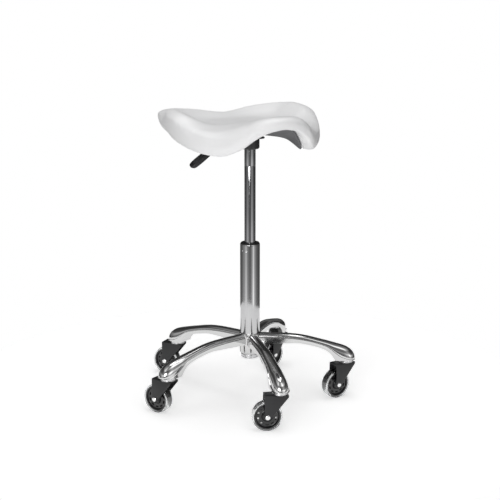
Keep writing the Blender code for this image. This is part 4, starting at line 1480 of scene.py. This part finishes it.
    def ribs(self) -> Mesh:
        """Make the stiffening ribs that run out from the plate under the shell.

        Returns:
            The ribs.
        """
        shapes = []
        for angle in (-150, -128, -106, 106, 128, 150):
            rings = []
            across = Vector((cos(radians(angle)), sin(radians(angle)), 0)) * 0.0011
            for step in range(15):
                part = step / 14
                top = self.point(angle, 12.25 - 1.75 * part, self.shell_gap + self.shell_wall - 0.0008)
                depth = 0.0009 + 0.0052 * sin(pi * min(1.0, 0.12 + part * 0.88)) ** 0.6
                low = top - Vector((0, 0, depth))
                rings.append([top - across, top + across, low + across * 0.7, low - across * 0.7])
            shapes.append(skinned(rings, capped=True))
        return joined(shapes)

    def staple_row(self, bench: Bench, pad: Mesh) -> Mesh:
        """Set a row of staples round the cover's turned-in edge.

        Args:
            bench: The bench.
            pad: The finished pad, before it was moved to the column's place.

        Returns:
            The staples' mesh.
        """
        tree = BVHTree.FromPolygons([v.co for v in pad.vertices], [p.vertices for p in pad.polygons])
        spots = []
        for index in range(self.staples):
            angle = 360.0 * (index + 0.5) / self.staples - 180.0
            place, normal, _, _ = tree.find_nearest(self.point(angle, 9.55))
            if normal.z > 0:
                normal = -normal
            along = (self.point(angle + 1, 9.55) - self.point(angle - 1, 9.55)).normalized()
            along = (along - normal * along.dot(normal)).normalized()
            spots.append((place, along, normal))
        bar = box((-0.005, -0.00045, -0.0006), (0.005, 0.00045, 0.00035), 0.0003)
        return bench.repeater.repeat(bar, spots, bench.finishes.material(ZINC))

    def build(self, bench: Bench) -> None:
        """Place the pad, shell, ribs and staples on the seat's body.

        Args:
            bench: The bench.
        """
        mesh = self.pad()
        staples = self.staple_row(bench, mesh)
        pad = bench.fit("saddle_pad", mesh, (LEATHER,), "seat", ["seat_cushion"], sharp=70.0)
        bench.fit("saddle_shell", self.shell(), (SHELL,), "seat", ["seat_shell"], sharp=50.0)
        bench.fit("shell_ribs", self.ribs(), (SHELL,), "seat")
        bench.fit("cover_staples", staples, (ZINC,), "seat")


# ---------------------------------------------------------------- studio
@dataclass
class Studio:
    """The pale floor, the soft lights and the camera."""

    camera_place: Triple = (-1.2712, -2.4948, 1.0791)
    camera_turn: Triple = (76.0954, 0.0, -27.0)
    lens: float = 82.13
    floor_radius: float = 0.78
    floor_colour: Triple = (0.9, 0.9, 0.9)
    floor_glow: float = 0.48
    # each lamp's name, place, width and height, and watts
    lamps: tuple[tuple[str, Triple, Pair, float], ...] = (
        ("front_box", (-1.9, -2.2, 0.9), (1.4, 1.2), 34.0),
        ("top_box", (0.2, 0.2, 2.6), (1.3, 1.3), 20.5),
    )
    aim: Triple = (0.0, 0.0, 0.35)
    # the brightness of the studio by height, from straight down to straight up, and by direction
    sky_levels: tuple[Pair, ...] = (
        (0.0, 0.45), (0.3, 0.85), (0.34, 0.68), (0.38, 0.46), (0.41, 0.3), (0.46, 0.2), (0.5, 0.62),
        (0.59, 0.85), (0.65, 0.24), (0.8, 0.18), (0.88, 0.9), (0.94, 0.75), (1.0, 0.3))
    sky_bands: tuple[Pair, ...] = (
        (0.0, 0.9), (0.044, 1.7), (0.09, 0.8), (0.15, 0.4), (0.2, 0.4), (0.25, 1.1), (0.289, 2.4),
        (0.33, 1.0), (0.4, 0.45), (0.47, 0.25), (0.6, 0.15), (0.76, 0.18), (0.88, 0.35), (0.95, 0.7),
        (1.0, 0.9))

    def camera(self, column: Vector) -> None:
        """Set the camera up.

        Args:
            column: The column's place.
        """
        data = bpy.data.cameras.new("camera")
        data.lens = self.lens
        item = placed("camera", data)
        item.location = column + Vector(self.camera_place)
        item.rotation_euler = [radians(angle) for angle in self.camera_turn]
        bpy.context.scene.camera = item

    def floor(self) -> None:
        """Lay the plain pale floor, a round sweep that ends before the walls of the studio."""
        shape = bmesh.new()
        bmesh.ops.create_circle(shape, cap_ends=True, segments=96, radius=self.floor_radius)
        item = placed("floor", as_mesh(shape))
        material = bpy.data.materials.new("pale_floor")
        material.use_nodes = True
        NodeSheet(material.node_tree).feed(material.node_tree.nodes["Principled BSDF"], {
            "Base Color": (*self.floor_colour, 1.0), "Roughness": 0.85, "Specular IOR Level": 0.1,
            "Emission Color": (1.0, 1.0, 1.0, 1.0), "Emission Strength": self.floor_glow})
        item.data.materials.append(material)

    @staticmethod
    def ramp(sheet: NodeSheet, value: Socket, stops: Sequence[Pair]) -> Socket:
        """Read a grey level from stops of (place, level).

        Args:
            sheet: The world's sheet.
            value: The number it is read at.
            stops: The stops as (place, level).

        Returns:
            The level.
        """
        made = sheet.node("ShaderNodeValToRGB", {0: value})
        made.color_ramp.interpolation = "EASE"
        marks = made.color_ramp.elements
        marks[0].position, marks[1].position = stops[0][0], stops[-1][0]
        for mark, (_, level) in zip(marks, (stops[0], stops[-1])):
            mark.color = (level, level, level, 1)
        for position, level in stops[1:-1]:
            marks.new(position).color = (level, level, level, 1)
        return made.outputs[0]

    def lamp(self, name: str, place: Triple, size: Pair, power: float) -> None:
        """Hang one rectangular soft light.

        Args:
            name: The light's name.
            place: Where it hangs.
            size: Its width and height.
            power: Its power in watts.
        """
        data = bpy.data.lights.new(name, "AREA")
        data.shape = "RECTANGLE"
        data.size, data.size_y = size
        data.energy = power
        item = placed(name, data)
        item.location = place
        item.rotation_euler = (Vector(self.aim) - Vector(place)).to_track_quat("-Z", "Y").to_euler()

    def surroundings(self) -> None:
        """Light the scene with a studio of light and dark panels, seen as plain white by the camera."""
        world = bpy.data.worlds.new("studio")
        bpy.context.scene.world = world
        world.use_nodes = True
        sheet = NodeSheet(world.node_tree)
        direction = sheet.node("ShaderNodeTexCoord").outputs["Generated"]
        split = sheet.node("ShaderNodeSeparateXYZ", {0: direction})
        height = sheet.math("ADD", sheet.math("MULTIPLY", split.outputs["Z"], 0.5), 0.5)
        around = sheet.math("ARCTAN2", split.outputs["Y"], split.outputs["X"])
        turn = sheet.math("ADD", sheet.math("DIVIDE", around, 2 * pi), 0.5)
        panels = sheet.node("ShaderNodeMix", data_type="RGBA", blend_type="MULTIPLY")
        sheet.feed(panels, {0: 1.0, 6: self.ramp(sheet, height, self.sky_levels),
                            7: self.ramp(sheet, turn, self.sky_bands)})
        seen = sheet.node("ShaderNodeMix", data_type="RGBA")
        to_camera = sheet.node("ShaderNodeLightPath").outputs["Is Camera Ray"]
        sheet.feed(seen, {0: to_camera, 6: panels.outputs[2], 7: (1.0, 1.0, 1.0, 1.0)})
        sheet.feed(world.node_tree.nodes["Background"], {"Color": seen.outputs[2]})

    def build(self, column: Vector) -> None:
        """Set the whole studio up round the column's place.

        Args:
            column: The column's place.
        """
        self.camera(column)
        self.floor()
        self.surroundings()
        for lamp in self.lamps:
            self.lamp(*lamp)
        bpy.context.scene.view_settings.view_transform = "Standard"


def main() -> None:
    """Build the stool round its frame and light it."""
    logging.basicConfig(level=logging.INFO, format="%(name)s: %(message)s")
    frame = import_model()
    low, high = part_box("column_tube")
    column = Vector(((low[0] + high[0]) / 2, (low[1] + high[1]) / 2, 0.0))
    studio = Studio()
    studio.build(column)
    bench = Bench(frame, column, FinishBook(), Repeater())
    star = StarBase()
    star.build(bench)
    Caster().build(bench, star)
    Column().build(bench)
    Mechanism().build(bench)
    Seat().build(bench)


if __name__ == "__main__":
    main()
